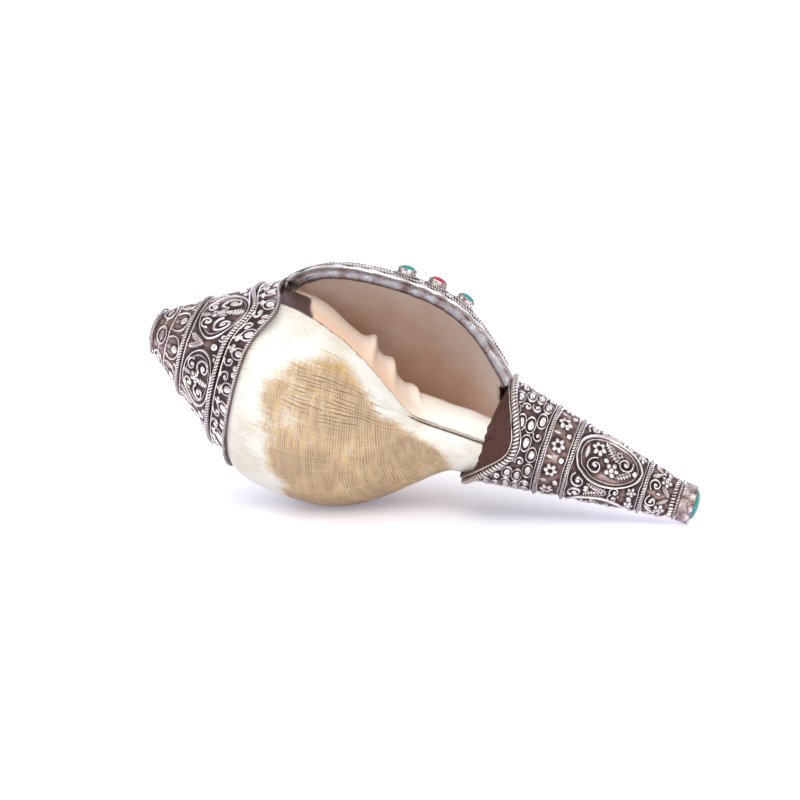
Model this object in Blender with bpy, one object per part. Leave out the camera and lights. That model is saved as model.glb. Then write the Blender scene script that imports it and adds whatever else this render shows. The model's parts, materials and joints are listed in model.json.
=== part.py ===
"""Conch shell trumpet with silver mounts, three bezel-set stones on the lip and one in the tail.

The instrument is modelled about its own long axis: x runs from the mouthpiece face (x = 0)
to the stone in the tail, the angle theta runs from +Y towards +Z. The whole of it hangs on one
empty, which is pitched until the belly of the shell and the tail rest on the same plane.
"""
import math

import bmesh
import bpy
import numpy as np
from mathutils import Matrix, Vector

MM = 0.001
GAP = 0.3 * MM

# Shell: a spiral that grows by one factor in each turn
LIP_ANGLE = math.radians(95.0)
GROWTH = 1.5
LIP_RADIUS = 71.5 * MM
SPIRE_START = 9.0 * MM
SHELL_END = 188.0 * MM
APEX_BACK = 14.0 * MM
LIP_PEAK = 110.0 * MM
CAP_EDGE = 63.0 * MM
SHOULDER_START = CAP_EDGE - 2.0 * MM
SHOULDER_RISE = 0.7
LIP_FALL = 70.0 * MM
FALL_SPAN = math.radians(1400.0)
LIP_SPREAD = 8.0 * MM
LIP_SPREAD_SPAN = math.radians(50.0)
LIP_FLARE = 1.4 * MM
LIP_FLARE_SPAN = math.radians(30.0)
CANAL_RADIUS = 14.4 * MM
CANAL_TAPER = 0.12
CANAL_TAPER_END = SHELL_END - 5.0 * MM
CANAL_TAPER_LENGTH = 25.0 * MM
CANAL_SWELL = 4.0 * MM
CANAL_SWELL_START = SHELL_END - 30.0 * MM
CANAL_SWELL_END = SHELL_END - 10.0 * MM
AXIS_DROP = 6.5 * MM
AXIS_DROP_LENGTH = 95.0 * MM
WALL = 4.6 * MM
CALLUS = 0.8 * MM
PARIETAL_HOLLOW = 4.5 * MM
PARIETAL_X = 101.0 * MM
PARIETAL_WIDTH = 15.0 * MM
GROOVE_DEPTH = 3.0 * MM
GROOVE_ANGLE = math.radians(154.0)
GROOVE_WIDTH = math.radians(3.4)
GROOVE_START = 144.0 * MM

# Folds on the columella: place at the lip, height, width behind and in front of the crest
FOLDS = ((117.0 * MM, 5.0 * MM), (129.5 * MM, 4.4 * MM), (144.0 * MM, 2.6 * MM))
FOLD_BACK = 4.0 * MM
FOLD_FRONT = 1.7 * MM

# Cavity of the whorl
CAVITY_MOUTH = tuple(math.radians(turn) for turn in (-16.0, -8.0, 0.0, 4.0, 8.0, 16.0))
CAVITY_TURN = math.radians(480.0)
CAVITY_STEP = math.radians(15.0)
CAVITY_START = 20.0 * MM
CAVITY_GRAIN = 0.5 * MM
BLOW_BORE_RADIUS = 6.3 * MM
BLOW_BORE_LENGTH = 30.0 * MM
CHANNEL_RADIUS = 4.5 * MM

# Spire cap
CAP_RADIUS = 10.0 * MM
CAP_FLARE = 0.665
CAP_DROP = 0.06
CAP_START = 1.5 * MM
CAP_REACH = 8.0 * MM
REACH_ANGLE = math.radians(130.0)
REACH_SPREAD = math.radians(16.0)
BED_BEND = 0.4
BED_EDGE = 2.0 * MM
SHEET = 0.8 * MM
LAC = 1.2 * MM
CAP_ROPES = (0.39 * CAP_EDGE, 0.79 * CAP_EDGE)
CAP_ROPE_WIRE = 0.9 * MM
RIM_WIRE = 1.2 * MM
EDGE_WIRE = 0.7 * MM

# Mouthpiece
RING_RADIUS = 9.5 * MM
TUBE_WALL = 0.8 * MM
TUBE_START = 0.6 * MM

# Lip mount
LEG = 2.0 * MM
INNER_LEG = (3.4 * MM, 7.4 * MM)
BAND_FROM = 2.4 * MM
BAND_WIDTH = 14.6 * MM
LIP_WIRES = ((BAND_FROM - 0.2 * MM, 0.6 * MM), (BAND_FROM + BAND_WIDTH + 0.2 * MM, 0.8 * MM))
INNER_GAP = 0.6 * MM
MOUNT_START = CAP_EDGE + 2.0 * MM
BINDING_START = CAP_EDGE + 8.0 * MM
MOUNT_END = SHELL_END - 2.0 * MM
BINDING_WIDENS = (MOUNT_END - 42.0 * MM, MOUNT_END - 10.0 * MM)
BEZEL_PLACES = (122.0 * MM, 138.5 * MM, 154.0 * MM)
BEZEL_BACK = BAND_FROM + 0.5 * BAND_WIDTH
BEZEL_RADIUS = 5.2 * MM
BEZEL_HEIGHT = 4.0 * MM
BEZEL_WALL = 0.5 * MM
BEZEL_ROPE = 0.55 * MM
STONE_RISE = 2.2 * MM

# Tail
TAIL_START = SHELL_END + 2.0 * MM
TAIL_RADIUS = 28.0 * MM
TAIL_TAPER = 0.187
TAIL_LIFT = 6.1 * MM
TAIL_BEND = 0.0568
RIM_X = TAIL_START - 4.5 * MM
RIM_TILT = 2.8 * MM
RIM_NOTCH = 16.0 * MM
NOTCH_ANGLE = math.radians(182.0)
NOTCH_SPREAD = (math.radians(52.0), math.radians(38.0))
TONGUE = 4.0 * MM
TONGUE_ANGLE = math.radians(264.0)
TONGUE_SPREAD = math.radians(28.0)
RIM_ROPE = 1.7 * MM
RIM_ROPE_BACK = 2.6 * MM
TAIL_LENGTH = 100.0 * MM
TAIL_END = TAIL_START + TAIL_LENGTH
TAIL_ROPES = tuple(TAIL_START + share * TAIL_LENGTH for share in (0.28, 0.42, 0.81, 0.99))
TAIL_ROPE_WIRE = (0.8 * MM, 0.8 * MM, 0.8 * MM, 0.7 * MM)
LINING = 1.6 * MM
LINING_END = TAIL_END - 15.0 * MM
COLLAR_END = TAIL_END + 7.0 * MM
COLLAR_RADIUS = TAIL_RADIUS - TAIL_TAPER * TAIL_LENGTH + 1.1 * MM
COLLAR_WALL = 1.2 * MM
COLLAR_SIDES = 16
PLUG_HEAD = 2.2 * MM
END_STONE_RISE = 3.0 * MM
REST_FLAT_DEPTH = 0.9 * MM
REST_ROLL = math.radians(0.0)

TURN_SIDES = 44
WIRE_SIDES = 6
STONE_SIDES = 20


def smooth(low, high, value):
    """Ease from 0 to 1 as the value goes from low to high."""
    t = min(1.0, max(0.0, (value - low) / (high - low)))
    return t * t * (3.0 - 2.0 * t)


def bell(value, centre, width):
    return math.exp(-((value - centre) / width) ** 2)


def shrink(turned):
    """Size of the spiral, as a share of its size at the lip, this far behind the lip."""
    return GROWTH ** (-turned / math.tau)


def along_spiral(x, turned):
    """Where a point at x on the lip lies on the whorl this far behind it."""
    return (x + APEX_BACK) * shrink(turned) - APEX_BACK


def axis_height(x):
    return -AXIS_DROP * math.tanh(x / AXIS_DROP_LENGTH)


def cap_height(x):
    return -CAP_DROP * x


def spire_radius(x):
    """Radius of the spire, which the lac and the cap's sheet cover."""
    return CAP_RADIUS + CAP_FLARE * x - SHEET - LAC - 2.0 * GAP - 0.3 * MM


def fall_length(turned):
    """How far in front of its widest place a whorl takes to narrow to the canal."""
    spread = LIP_SPREAD * bell(turned, 0.0, LIP_SPREAD_SPAN)
    return LIP_FALL * (1.0 - turned / FALL_SPAN) + spread


def canal_radius(x, turned):
    radius = CANAL_RADIUS + CANAL_TAPER * min(CANAL_TAPER_LENGTH, max(0.0, CANAL_TAPER_END - x))
    radius += CANAL_SWELL * bell(turned, math.radians(335.0), math.radians(35.0)) * smooth(
        CANAL_SWELL_START, CANAL_SWELL_END, x)
    return radius * min(1.0, shrink(turned - math.tau))


def fold_height(x, turned):
    """Ridges on the columella, which fade out in front of the aperture."""
    inward = turned - math.tau
    fade = smooth(math.radians(-40.0), math.radians(-4.0), inward) * (
        1.0 - smooth(math.radians(60.0), math.radians(200.0), inward))
    if fade == 0.0:
        return 0.0
    height = 0.0
    for place, rise in FOLDS:
        offset = x - along_spiral(place, inward)
        height += rise * bell(offset, 0.0, FOLD_FRONT if offset > 0.0 else FOLD_BACK)
    return fade * height


def shell_radius(x, turned):
    """Outer radius of the whorl at x, this far behind the lip."""
    wide = LIP_RADIUS * shrink(turned) + LIP_FLARE * bell(turned, 0.0, LIP_FLARE_SPAN)
    shoulder = min(SHOULDER_START, (wide - 1.5 * MM - spire_radius(0.0)) / CAP_FLARE)
    radius = spire_radius(min(x, shoulder))
    if x > shoulder:
        rise = wide - radius
        radius += rise * (1.0 - math.exp(-(x - shoulder) / (SHOULDER_RISE * rise)))
    t = (x - along_spiral(LIP_PEAK, turned)) / fall_length(turned)
    if t > 0.0:
        canal = canal_radius(x, turned)
        share = 0.5 * (1.0 + math.cos(math.pi * min(1.0, t / 1.5) ** 1.7))
        radius = canal + (radius - canal) * share
    parietal = smooth(math.radians(290.0), math.radians(350.0), turned) * (
        1.0 - smooth(math.radians(400.0), math.radians(480.0), turned))
    radius -= PARIETAL_HOLLOW * parietal * bell(x, PARIETAL_X, PARIETAL_WIDTH)
    radius += CALLUS * smooth(math.radians(325.0), math.radians(352.0), turned) * smooth(
        SHOULDER_START, SHOULDER_START + 8.0 * MM, x)
    theta = LIP_ANGLE - turned + math.tau
    radius -= GROOVE_DEPTH * bell(theta, GROOVE_ANGLE, GROOVE_WIDTH) * smooth(
        GROOVE_START, GROOVE_START + 9.0 * MM, x)
    return radius + fold_height(x, turned) + 0.3 * MM * (1.0 - turned / math.tau)


def place(x, radius, theta):
    return Vector((x, radius * math.cos(theta), axis_height(x) + radius * math.sin(theta)))


def shell_point(x, turned, height=0.0):
    """Point on the outer surface of the shell, raised along the surface's normal."""
    step = 0.4 * MM
    turn = step / shell_radius(x, turned)
    spot = place(x, shell_radius(x, turned), LIP_ANGLE - turned)
    if height == 0.0:
        return spot
    across = (place(x + step, shell_radius(x + step, turned), LIP_ANGLE - turned)
              - place(x - step, shell_radius(x - step, turned), LIP_ANGLE - turned))
    around = (place(x, shell_radius(x, turned - turn), LIP_ANGLE - turned + turn)
              - place(x, shell_radius(x, turned + turn), LIP_ANGLE - turned - turn))
    normal = around.cross(across).normalized()
    if normal.dot(Vector((0.0, spot.y, spot.z - axis_height(x)))) < 0.0:
        normal.negate()
    return spot + normal * height


def material(name, colour, roughness, metallic):
    """Principled material in the piece's own colour."""
    made = bpy.data.materials.new(name)
    made.use_nodes = True
    shader = made.node_tree.nodes["Principled BSDF"]
    shader.inputs["Base Color"].default_value = (*colour, 1.0)
    shader.inputs["Roughness"].default_value = roughness
    shader.inputs["Metallic"].default_value = metallic
    return made


def make_object(name, bm, finish=None, parent=None, sharp=35.0):
    """Object from a bmesh, with outward faces and smooth shading."""
    bmesh.ops.recalc_face_normals(bm, faces=bm.faces)
    mesh = bpy.data.meshes.new(name)
    bm.to_mesh(mesh)
    bm.free()
    mesh.shade_smooth()
    mesh.set_sharp_from_angle(angle=math.radians(sharp))
    piece = bpy.data.objects.new(name, mesh)
    bpy.context.scene.collection.objects.link(piece)
    if finish:
        mesh.materials.append(finish)
    piece.parent = parent
    return piece


def loft(sections, around=False):
    """Skin over sections of equal count: round and closed on itself, or capped at both ends."""
    bm = bmesh.new()
    rows = [[bm.verts.new(point) for point in section] for section in sections]
    count = len(rows[0])
    pairs = len(rows) if around else len(rows) - 1
    for i in range(pairs):
        here, there = rows[i], rows[(i + 1) % len(rows)]
        for j in range(count):
            k = (j + 1) % count
            bm.faces.new((here[j], here[k], there[k], there[j]))
    if not around:
        bm.faces.new(rows[0])
        bm.faces.new(rows[-1])
    return bm


def revolve(profile, height, sides=TURN_SIDES):
    """Closed (x, radius) profile turned about an axis that runs at height(x)."""
    sections = []
    for i in range(sides):
        theta = math.tau * i / sides
        sections.append([Vector((x, r * math.cos(theta), height(x) + r * math.sin(theta)))
                         for x, r in profile])
    return loft(sections, around=True)


def turned_solid(profile, sides):
    """Solid turned about its own Z from a (radius, z) profile that starts and ends on the axis."""
    bm = bmesh.new()
    verts = [bm.verts.new((r, 0.0, z)) for r, z in profile]
    edges = [bm.edges.new(pair) for pair in zip(verts, verts[1:])]
    bmesh.ops.spin(bm, geom=verts + edges, cent=(0, 0, 0), axis=(0, 0, 1),
                   angle=math.tau, steps=sides, use_merge=True)
    bmesh.ops.remove_doubles(bm, verts=bm.verts, dist=0.001 * MM)
    return bm


def wire_ring(centre_at, outward_at, wire, steps, sides=WIRE_SIDES):
    """Round wire whose centre line is a closed path, seen from the axis at each angle."""
    sections = []
    for i in range(steps):
        theta = math.tau * i / steps
        ahead = centre_at(theta + 0.01) - centre_at(theta - 0.01)
        up = outward_at(theta).normalized()
        side = ahead.cross(up).normalized()
        up = side.cross(ahead).normalized()
        sections.append([centre_at(theta) + wire * (
            math.cos(math.tau * (j + 0.5) / sides) * up + math.sin(math.tau * (j + 0.5) / sides) * side)
            for j in range(sides)])
    return loft(sections, around=True)


def cut(piece, cutter, operation="DIFFERENCE"):
    """Exact Boolean of one object by another, which stays as a wire guide."""
    step = piece.modifiers.new(cutter.name, "BOOLEAN")
    step.operation = operation
    step.solver = "EXACT"
    step.object = cutter
    cutter.hide_render = True
    cutter.display_type = "WIRE"


def body_stations():
    """Stations along the shell, closer where the shoulder turns and at the folds."""
    stations = [SPIRE_START, 30.0 * MM, 48.0 * MM, SHOULDER_START]
    stations += [SHOULDER_START + step * MM for step in (3.0, 7.0, 12.0, 18.0, 25.0, 33.0, 41.0, 48.0)]
    for crest, rise in FOLDS:
        stations += [crest - 0.9 * FOLD_BACK, crest, crest + FOLD_FRONT]
    last = FOLDS[-1][0] + 3.0 * FOLD_FRONT
    steps = 7
    stations += [last + (SHELL_END - last) * i / steps for i in range(steps + 1)]
    return sorted(stations)


def body_turns():
    """Angles behind the lip, closer at both sides of the canal groove."""
    coarse = [math.tau * i / 38 for i in range(39)]
    groove = LIP_ANGLE + math.tau - GROOVE_ANGLE
    near = [groove + GROOVE_WIDTH * share for share in (-1.8, 0.0, 1.8)]
    return sorted([turn for turn in coarse if abs(turn - groove) > 2.6 * GROOVE_WIDTH] + near)


def shell_body():
    """Outside of the shell, a spiral grid closed by the step at the lip and by two flat ends."""
    turns = body_turns()
    return loft([[shell_point(x, turned) for turned in turns] for x in body_stations()])


def cavity_sides(turned):
    """Roof and floor of the cavity in the half-plane at this turn, as radii over x."""
    xs = np.arange(CAVITY_START, SHELL_END + 12.0 * MM, CAVITY_GRAIN)
    roof = np.array([shell_radius(x, turned) for x in xs])
    slope = np.gradient(roof, CAVITY_GRAIN)
    length = np.sqrt(1.0 + slope ** 2)
    roof_x, roof_r = xs + WALL * slope / length, roof - WALL / length
    order = np.maximum.accumulate(roof_x)
    lift = -0.25 * MM + 0.12 * MM * math.degrees(max(0.0, -turned))
    floor = np.array([shell_radius(x, turned + math.tau) + lift for x in xs])
    return xs, np.interp(xs, order, roof_r), floor


def cavity_loop(turned):
    """One section of the whorl's cavity: a smooth roof and a floor with the folds on it."""
    xs, roof, floor = cavity_sides(turned)
    open_at = np.flatnonzero(roof - floor > 0.8 * MM)
    start, end = xs[open_at[0]], xs[open_at[-1]]
    crests = [along_spiral(crest, turned) for crest, rise in FOLDS]
    marks = []
    for crest in crests:
        marks += [crest - 0.9 * FOLD_BACK, crest, crest + FOLD_FRONT]
    marks.append(crests[-1] + 3.0 * FOLD_FRONT)
    end = max(end, marks[-1] + 4.0 * MM)
    floor_xs = [start + (marks[0] - start) * i / 5 for i in range(5)] + marks
    floor_xs += [marks[-1] + (end - marks[-1]) * i / 4 for i in range(1, 5)]
    roof_xs = [end - (end - start) * (0.5 - 0.5 * math.cos(math.pi * i / 15)) for i in range(1, 15)]
    theta = LIP_ANGLE - turned
    low = [place(x, float(np.interp(x, xs, floor)), theta) for x in floor_xs]
    high = []
    for x in roof_xs:
        least = float(np.interp(x, xs, floor)) + 0.3 * MM
        high.append(place(x, max(float(np.interp(x, xs, roof)), least), theta))
    return low + high


def whorl_cavity(parent):
    """Hollow of the last whorl and a third, swept backwards from the lip."""
    count = round(CAVITY_TURN / CAVITY_STEP)
    turns = list(CAVITY_MOUTH) + [CAVITY_STEP * i for i in range(2, count + 1)]
    return make_object("cavity_cutter", loft([cavity_loop(turn) for turn in turns]), parent=parent)


def drilled(name, start, end, radius, parent, sides=20):
    """Round cutter between two points."""
    bm = bmesh.new()
    run = end - start
    bmesh.ops.create_cone(bm, cap_ends=True, segments=sides, radius1=radius, radius2=radius,
                          depth=run.length)
    turn = run.to_track_quat("Z", "Y").to_matrix().to_4x4()
    bmesh.ops.transform(bm, matrix=Matrix.Translation((start + end) / 2) @ turn, verts=bm.verts)
    return make_object(name, bm, parent=parent)


def build_shell(root):
    finish = material("shell", (0.82, 0.76, 0.66), 0.35, 0.0)
    shell = make_object("conch_shell", shell_body(), finish, root, sharp=50.0)
    cut(shell, whorl_cavity(root))
    bore_end = Vector((BLOW_BORE_LENGTH, 0.0, cap_height(BLOW_BORE_LENGTH)))
    bore_start = Vector((SPIRE_START - 4.0 * MM, 0.0, cap_height(SPIRE_START)))
    cut(shell, drilled("bore_cutter", bore_start, bore_end, BLOW_BORE_RADIUS, root))
    inner = cavity_loop(CAVITY_TURN)
    inner_middle = sum(inner, Vector()) / len(inner)
    cut(shell, drilled("channel_cutter", bore_end - Vector((2.0 * MM, 0, 0)), inner_middle,
                       CHANNEL_RADIUS, root))
    return shell


def cap_surface(x):
    return CAP_RADIUS + CAP_FLARE * x


def cap_reach(theta):
    """How far the cap's edge reaches over the shell, most where it meets the lip."""
    return CAP_REACH * bell(theta % math.tau, REACH_ANGLE, REACH_SPREAD)


def cap_cone(front, back, outer, inner):
    """Cone between two radii, whose back edge follows the cap's reach."""
    sections = []
    for i in range(TURN_SIDES):
        theta = math.tau * i / TURN_SIDES
        end = back + cap_reach(theta)
        bend = end - BED_BEND * (end - back + BED_EDGE)
        profile = [(front, outer(front)), (end, outer(end)), (end, inner(end, theta)),
                   (bend, inner(bend, theta)), (front, inner(front, theta))]
        sections.append([Vector((x, r * math.cos(theta), cap_height(x) + r * math.sin(theta)))
                         for x, r in profile])
    return loft(sections, around=True)


def lac_floor(x, theta):
    """Inside of the lac bed: on the spire, and under the cap's reach down to the whorl."""
    bed = cap_surface(x) - SHEET - GAP - LAC
    if x <= SHOULDER_START:
        return bed
    turned = (LIP_ANGLE - theta) % math.tau
    spot = shell_point(x, turned)
    return min(bed, math.hypot(spot.y, spot.z - cap_height(x)) + 3.0 * GAP)


def build_cap(root, silver, lac):
    """Cone of sheet silver on its lac bed, with the wires soldered round it."""
    sheet = cap_cone(CAP_START, CAP_EDGE, cap_surface, lambda x, theta: cap_surface(x) - SHEET)
    make_object("spire_cap", sheet, silver, root)
    bed = cap_cone(SPIRE_START + GAP, SHOULDER_START - LAC,
                    lambda x: cap_surface(x) - SHEET - GAP, lac_floor)
    make_object("cap_lac_bed", bed, lac, root)
    cap_wire("mouthpiece_rim_wire", CAP_START + 1.4 * MM, RIM_WIRE, root, silver, 24, 0.0)
    cap_wire("cap_rope_front", CAP_ROPES[0], CAP_ROPE_WIRE, root, silver, 32, 0.0)
    cap_wire("cap_rope_rear", CAP_ROPES[1], CAP_ROPE_WIRE, root, silver, TURN_SIDES, 1.0)
    cap_wire("cap_edge_wire", CAP_EDGE - 0.7 * MM, EDGE_WIRE, root, silver, TURN_SIDES, 1.0)


def cap_wire(name, start, wire, root, finish, steps, follow):
    """Wire ring that lies on the cap's cone and follows its reach by a share."""
    slope = math.atan(CAP_FLARE)
    stand = wire + GAP

    def centre_at(theta):
        x = start + follow * cap_reach(theta)
        radius = cap_surface(x) + stand * math.cos(slope)
        return Vector((x - stand * math.sin(slope), radius * math.cos(theta),
                       cap_height(x) + radius * math.sin(theta)))

    def outward_at(theta):
        return Vector((0.0, math.cos(theta), math.sin(theta)))

    make_object(name, wire_ring(centre_at, outward_at, wire, steps), finish, root)


def build_mouthpiece(root, silver):
    """Turned ring whose flat face meets the lips, and the tube that lines the bore."""
    bore = BLOW_BORE_RADIUS + 0.1 * MM
    back = SPIRE_START - GAP
    seat = cap_surface(CAP_START) - SHEET - GAP
    ring = [(0.0, bore), (0.0, RING_RADIUS), (CAP_START, seat), (back, seat), (back, bore)]
    make_object("mouthpiece_ring", revolve(ring, cap_height, 32), silver, root)
    outer = BLOW_BORE_RADIUS - GAP
    back = BLOW_BORE_LENGTH - 1.0 * MM
    tube = [(TUBE_START, outer), (back, outer), (back, outer - TUBE_WALL),
            (TUBE_START, outer - TUBE_WALL)]
    make_object("blow_tube", revolve(tube, cap_height, 20), silver, root)


def lip_stations(start, end, count):
    """Stations at equal distances along the edge of the lip."""
    xs = np.linspace(start, end, 160)
    spots = [shell_point(x, 0.0) for x in xs]
    run = np.cumsum([0.0] + [(b - a).length for a, b in zip(spots, spots[1:])])
    return [float(np.interp(run[-1] * i / (count - 1), run, xs)) for i in range(count)]


def lip_point(x, back, height):
    """Point by its distance behind the edge of the lip and its height over the shell."""
    return shell_point(x, back / shell_radius(x, 0.0), height)


def build_binding(root, silver):
    """Channel of plain sheet, folded over the edge of the lip."""
    top, low = GAP, -WALL - INNER_GAP
    sections = []
    for x in lip_stations(BINDING_START, MOUNT_END, 24):
        inner = INNER_LEG[0] + (INNER_LEG[1] - INNER_LEG[0]) * smooth(*BINDING_WIDENS, x)
        profile = [(LEG, top), (LEG, top + SHEET), (-GAP - SHEET, top + SHEET),
                   (-GAP - SHEET, low - SHEET), (inner, low - SHEET), (inner, low),
                   (-GAP, low), (-GAP, top)]
        sections.append([lip_point(x, back, height) for back, height in profile])
    make_object("lip_binding", loft(sections), silver, root)


def build_band(root, silver):
    """Embossed strip behind the binding, between its two wires."""
    low = GAP + 0.05 * MM
    backs = [BAND_FROM + BAND_WIDTH * i / 3 for i in range(4)]
    profile = [(back, low) for back in backs] + [(back, low + SHEET) for back in reversed(backs)]
    sections = [[lip_point(x, back, height) for back, height in profile]
                for x in lip_stations(MOUNT_START, MOUNT_END, 24)]
    make_object("lip_band", loft(sections), silver, root)
    for name, (back, wire) in zip(("lip_wire_front", "lip_wire_rear"), LIP_WIRES):
        height = low + SHEET + GAP + wire
        sections = []
        for x in lip_stations(MOUNT_START, MOUNT_END, 26):
            centre = lip_point(x, back, height)
            up = (centre - lip_point(x, back, 0.0)).normalized()
            ahead = lip_point(x + 0.5 * MM, back, height) - lip_point(x - 0.5 * MM, back, height)
            side = ahead.cross(up).normalized()
            sections.append([centre + wire * (math.cos(math.tau * (j + 0.5) / WIRE_SIDES) * up
                             + math.sin(math.tau * (j + 0.5) / WIRE_SIDES) * side)
                             for j in range(WIRE_SIDES)])
        make_object(name, loft(sections), silver, root)


def bezel_cup(radius, height, wall):
    floor = wall + 0.1 * MM
    return turned_solid([(0, 0), (radius, 0), (radius, height), (radius - wall, height),
                         (radius - wall, floor), (0, floor)], STONE_SIDES)


def cabochon(radius, low, girdle, rise, steps=4):
    """Stone with straight sides up to its girdle and an elliptical dome."""
    dome = [(radius * math.cos(math.pi / 2 * i / steps), girdle + rise * math.sin(math.pi / 2 * i / steps))
            for i in range(steps)]
    return turned_solid([(0, low), (radius, low)] + dome + [(0, girdle + rise)], STONE_SIDES)


def flat_ring(radius, wire, height, steps=STONE_SIDES):
    def centre_at(theta):
        return Vector((radius * math.cos(theta), radius * math.sin(theta), height))

    def outward_at(theta):
        return Vector((math.cos(theta), math.sin(theta), 0.0))

    return wire_ring(centre_at, outward_at, wire, steps)


def build_bezels(root, silver, stones):
    """Three cups on the lip band, each with its rope collar and its stone."""
    base = GAP + 0.05 * MM + SHEET + GAP + 0.15 * MM
    for number, (x, stone) in enumerate(zip(BEZEL_PLACES, stones), 1):
        spot = lip_point(x, BEZEL_BACK, base)
        up = (lip_point(x, BEZEL_BACK, base + 2.0 * MM) - spot).normalized()
        seat = bpy.data.objects.new(f"bezel_seat_{number}", None)
        bpy.context.scene.collection.objects.link(seat)
        seat.parent = root
        seat.location = spot
        seat.rotation_mode = "QUATERNION"
        seat.rotation_quaternion = up.to_track_quat("Z", "Y")
        make_object(f"bezel_cup_{number}", bezel_cup(BEZEL_RADIUS, BEZEL_HEIGHT, BEZEL_WALL), silver, seat)
        make_object(f"bezel_rope_{number}", flat_ring(BEZEL_RADIUS + GAP + BEZEL_ROPE, BEZEL_ROPE,
                    BEZEL_ROPE), silver, seat)
        low = BEZEL_WALL + 0.1 * MM + GAP
        make_object(f"lip_stone_{number}", cabochon(BEZEL_RADIUS - BEZEL_WALL - GAP, low,
                    BEZEL_HEIGHT - 0.4 * MM, STONE_RISE), stone, seat)


def tail_height(x):
    return TAIL_LIFT - TAIL_BEND * (x - TAIL_START)


def tail_surface(x):
    return TAIL_RADIUS - TAIL_TAPER * (x - TAIL_START)


def tail_rim(theta):
    """Edge of the tail's mouth: cut back in front for the canal, with a tongue under the shell."""
    theta %= math.tau
    spread = NOTCH_SPREAD[0] if theta < NOTCH_ANGLE else NOTCH_SPREAD[1]
    notch = RIM_NOTCH * bell(theta, NOTCH_ANGLE, spread)
    tongue = TONGUE * bell(theta, TONGUE_ANGLE, TONGUE_SPREAD)
    return RIM_X + RIM_TILT * math.sin(theta) + notch - tongue


def tail_sections(start_at, end, outer_inset, thickness, steps=3):
    """Closed section at each angle round the tail, from its own front edge to a shared end."""
    sections = []
    for i in range(TURN_SIDES):
        theta = math.tau * i / TURN_SIDES
        start = start_at(theta)
        xs = [start + (end - start) * j / steps for j in range(steps + 1)]
        outer = [(x, tail_surface(x) - outer_inset) for x in xs]
        inner = [(x, r - thickness) for x, r in reversed(outer)]
        sections.append([Vector((x, r * math.cos(theta), tail_height(x) + r * math.sin(theta)))
                         for x, r in outer + inner])
    return sections


def tail_wire(name, place_at, wire, root, finish, steps):
    """Wire round the tail, at place_at(angle) along it."""
    slope = math.atan(TAIL_TAPER)
    stand = wire + GAP

    def centre_at(theta):
        x = place_at(theta)
        radius = tail_surface(x) + stand * math.cos(slope)
        return Vector((x + stand * math.sin(slope), radius * math.cos(theta),
                       tail_height(x) + radius * math.sin(theta)))

    def outward_at(theta):
        return Vector((0.0, math.cos(theta), math.sin(theta)))

    make_object(name, wire_ring(centre_at, outward_at, wire, steps), finish, root)


def build_tail(root, silver, lac, stone):
    """Tapered sleeve over the canal, its lac lining, ropes, plug, collar and stone."""
    sleeve = tail_sections(tail_rim, TAIL_END, 0.0, SHEET)
    make_object("tail_sleeve", loft(sleeve, around=True), silver, root)

    def lining_edge(theta):
        return max(SHELL_END + GAP + 0.1 * MM, tail_rim(theta) + 0.8 * MM)

    lining = tail_sections(lining_edge, LINING_END, SHEET + GAP, LINING)
    make_object("tail_lac_lining", loft(lining, around=True), lac, root)
    tail_wire("tail_rim_rope", lambda theta: tail_rim(theta) + RIM_ROPE_BACK, RIM_ROPE, root, silver,
              TURN_SIDES)
    for number, (x, wire) in enumerate(zip(TAIL_ROPES, TAIL_ROPE_WIRE), 1):
        tail_wire(f"tail_rope_{number}", lambda theta, x=x: x, wire, root, silver, 26)
    collar_start = TAIL_END + GAP
    inside = COLLAR_RADIUS - COLLAR_WALL
    collar = [(collar_start, COLLAR_RADIUS), (COLLAR_END, COLLAR_RADIUS), (COLLAR_END, inside),
              (collar_start, inside)]
    make_object("tail_collar", revolve(collar, tail_height, COLLAR_SIDES), silver, root, sharp=15.0)
    build_plug(root, lac, collar_start, inside)
    build_end_stone(root, silver, stone, collar_start, inside)


def build_plug(root, lac, collar_start, inside):
    """Lac core that closes the tail and carries the collar and the stone's cup."""
    front = LINING_END + GAP
    skin = SHEET + GAP
    head = inside * math.cos(math.pi / COLLAR_SIDES) - GAP
    step = collar_start + 0.2 * MM
    profile = [(front, 0.001 * MM), (front, tail_surface(front) - skin),
               (TAIL_END, tail_surface(TAIL_END) - skin), (step, tail_surface(TAIL_END) - skin),
               (step, head), (step + PLUG_HEAD, head), (step + PLUG_HEAD, 0.001 * MM)]
    bm = bmesh.new()
    rings = []
    for x, r in profile[1:-1]:
        rings.append([bm.verts.new((x, r * math.cos(math.tau * i / 32),
                                    tail_height(x) + r * math.sin(math.tau * i / 32)))
                      for i in range(32)])
    for here, there in zip(rings, rings[1:]):
        for i in range(32):
            k = (i + 1) % 32
            bm.faces.new((here[i], here[k], there[k], there[i]))
    bm.faces.new(rings[0])
    bm.faces.new(rings[-1])
    make_object("tail_end_plug", bm, lac, root)


def build_end_stone(root, silver, stone, collar_start, inside):
    base = collar_start + 0.2 * MM + PLUG_HEAD + GAP
    radius = inside * math.cos(math.pi / COLLAR_SIDES) - GAP
    height = COLLAR_END - base + 0.5 * MM
    seat = bpy.data.objects.new("end_stone_seat", None)
    bpy.context.scene.collection.objects.link(seat)
    seat.parent = root
    seat.location = (base, 0.0, tail_height(base))
    seat.rotation_euler = (0.0, math.radians(90.0), 0.0)
    make_object("tail_end_bezel", bezel_cup(radius, height, BEZEL_WALL), silver, seat)
    low = BEZEL_WALL + 0.1 * MM + GAP
    make_object("tail_end_stone", cabochon(radius - BEZEL_WALL - GAP, low, height - 0.4 * MM,
                END_STONE_RISE), stone, seat)


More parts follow.
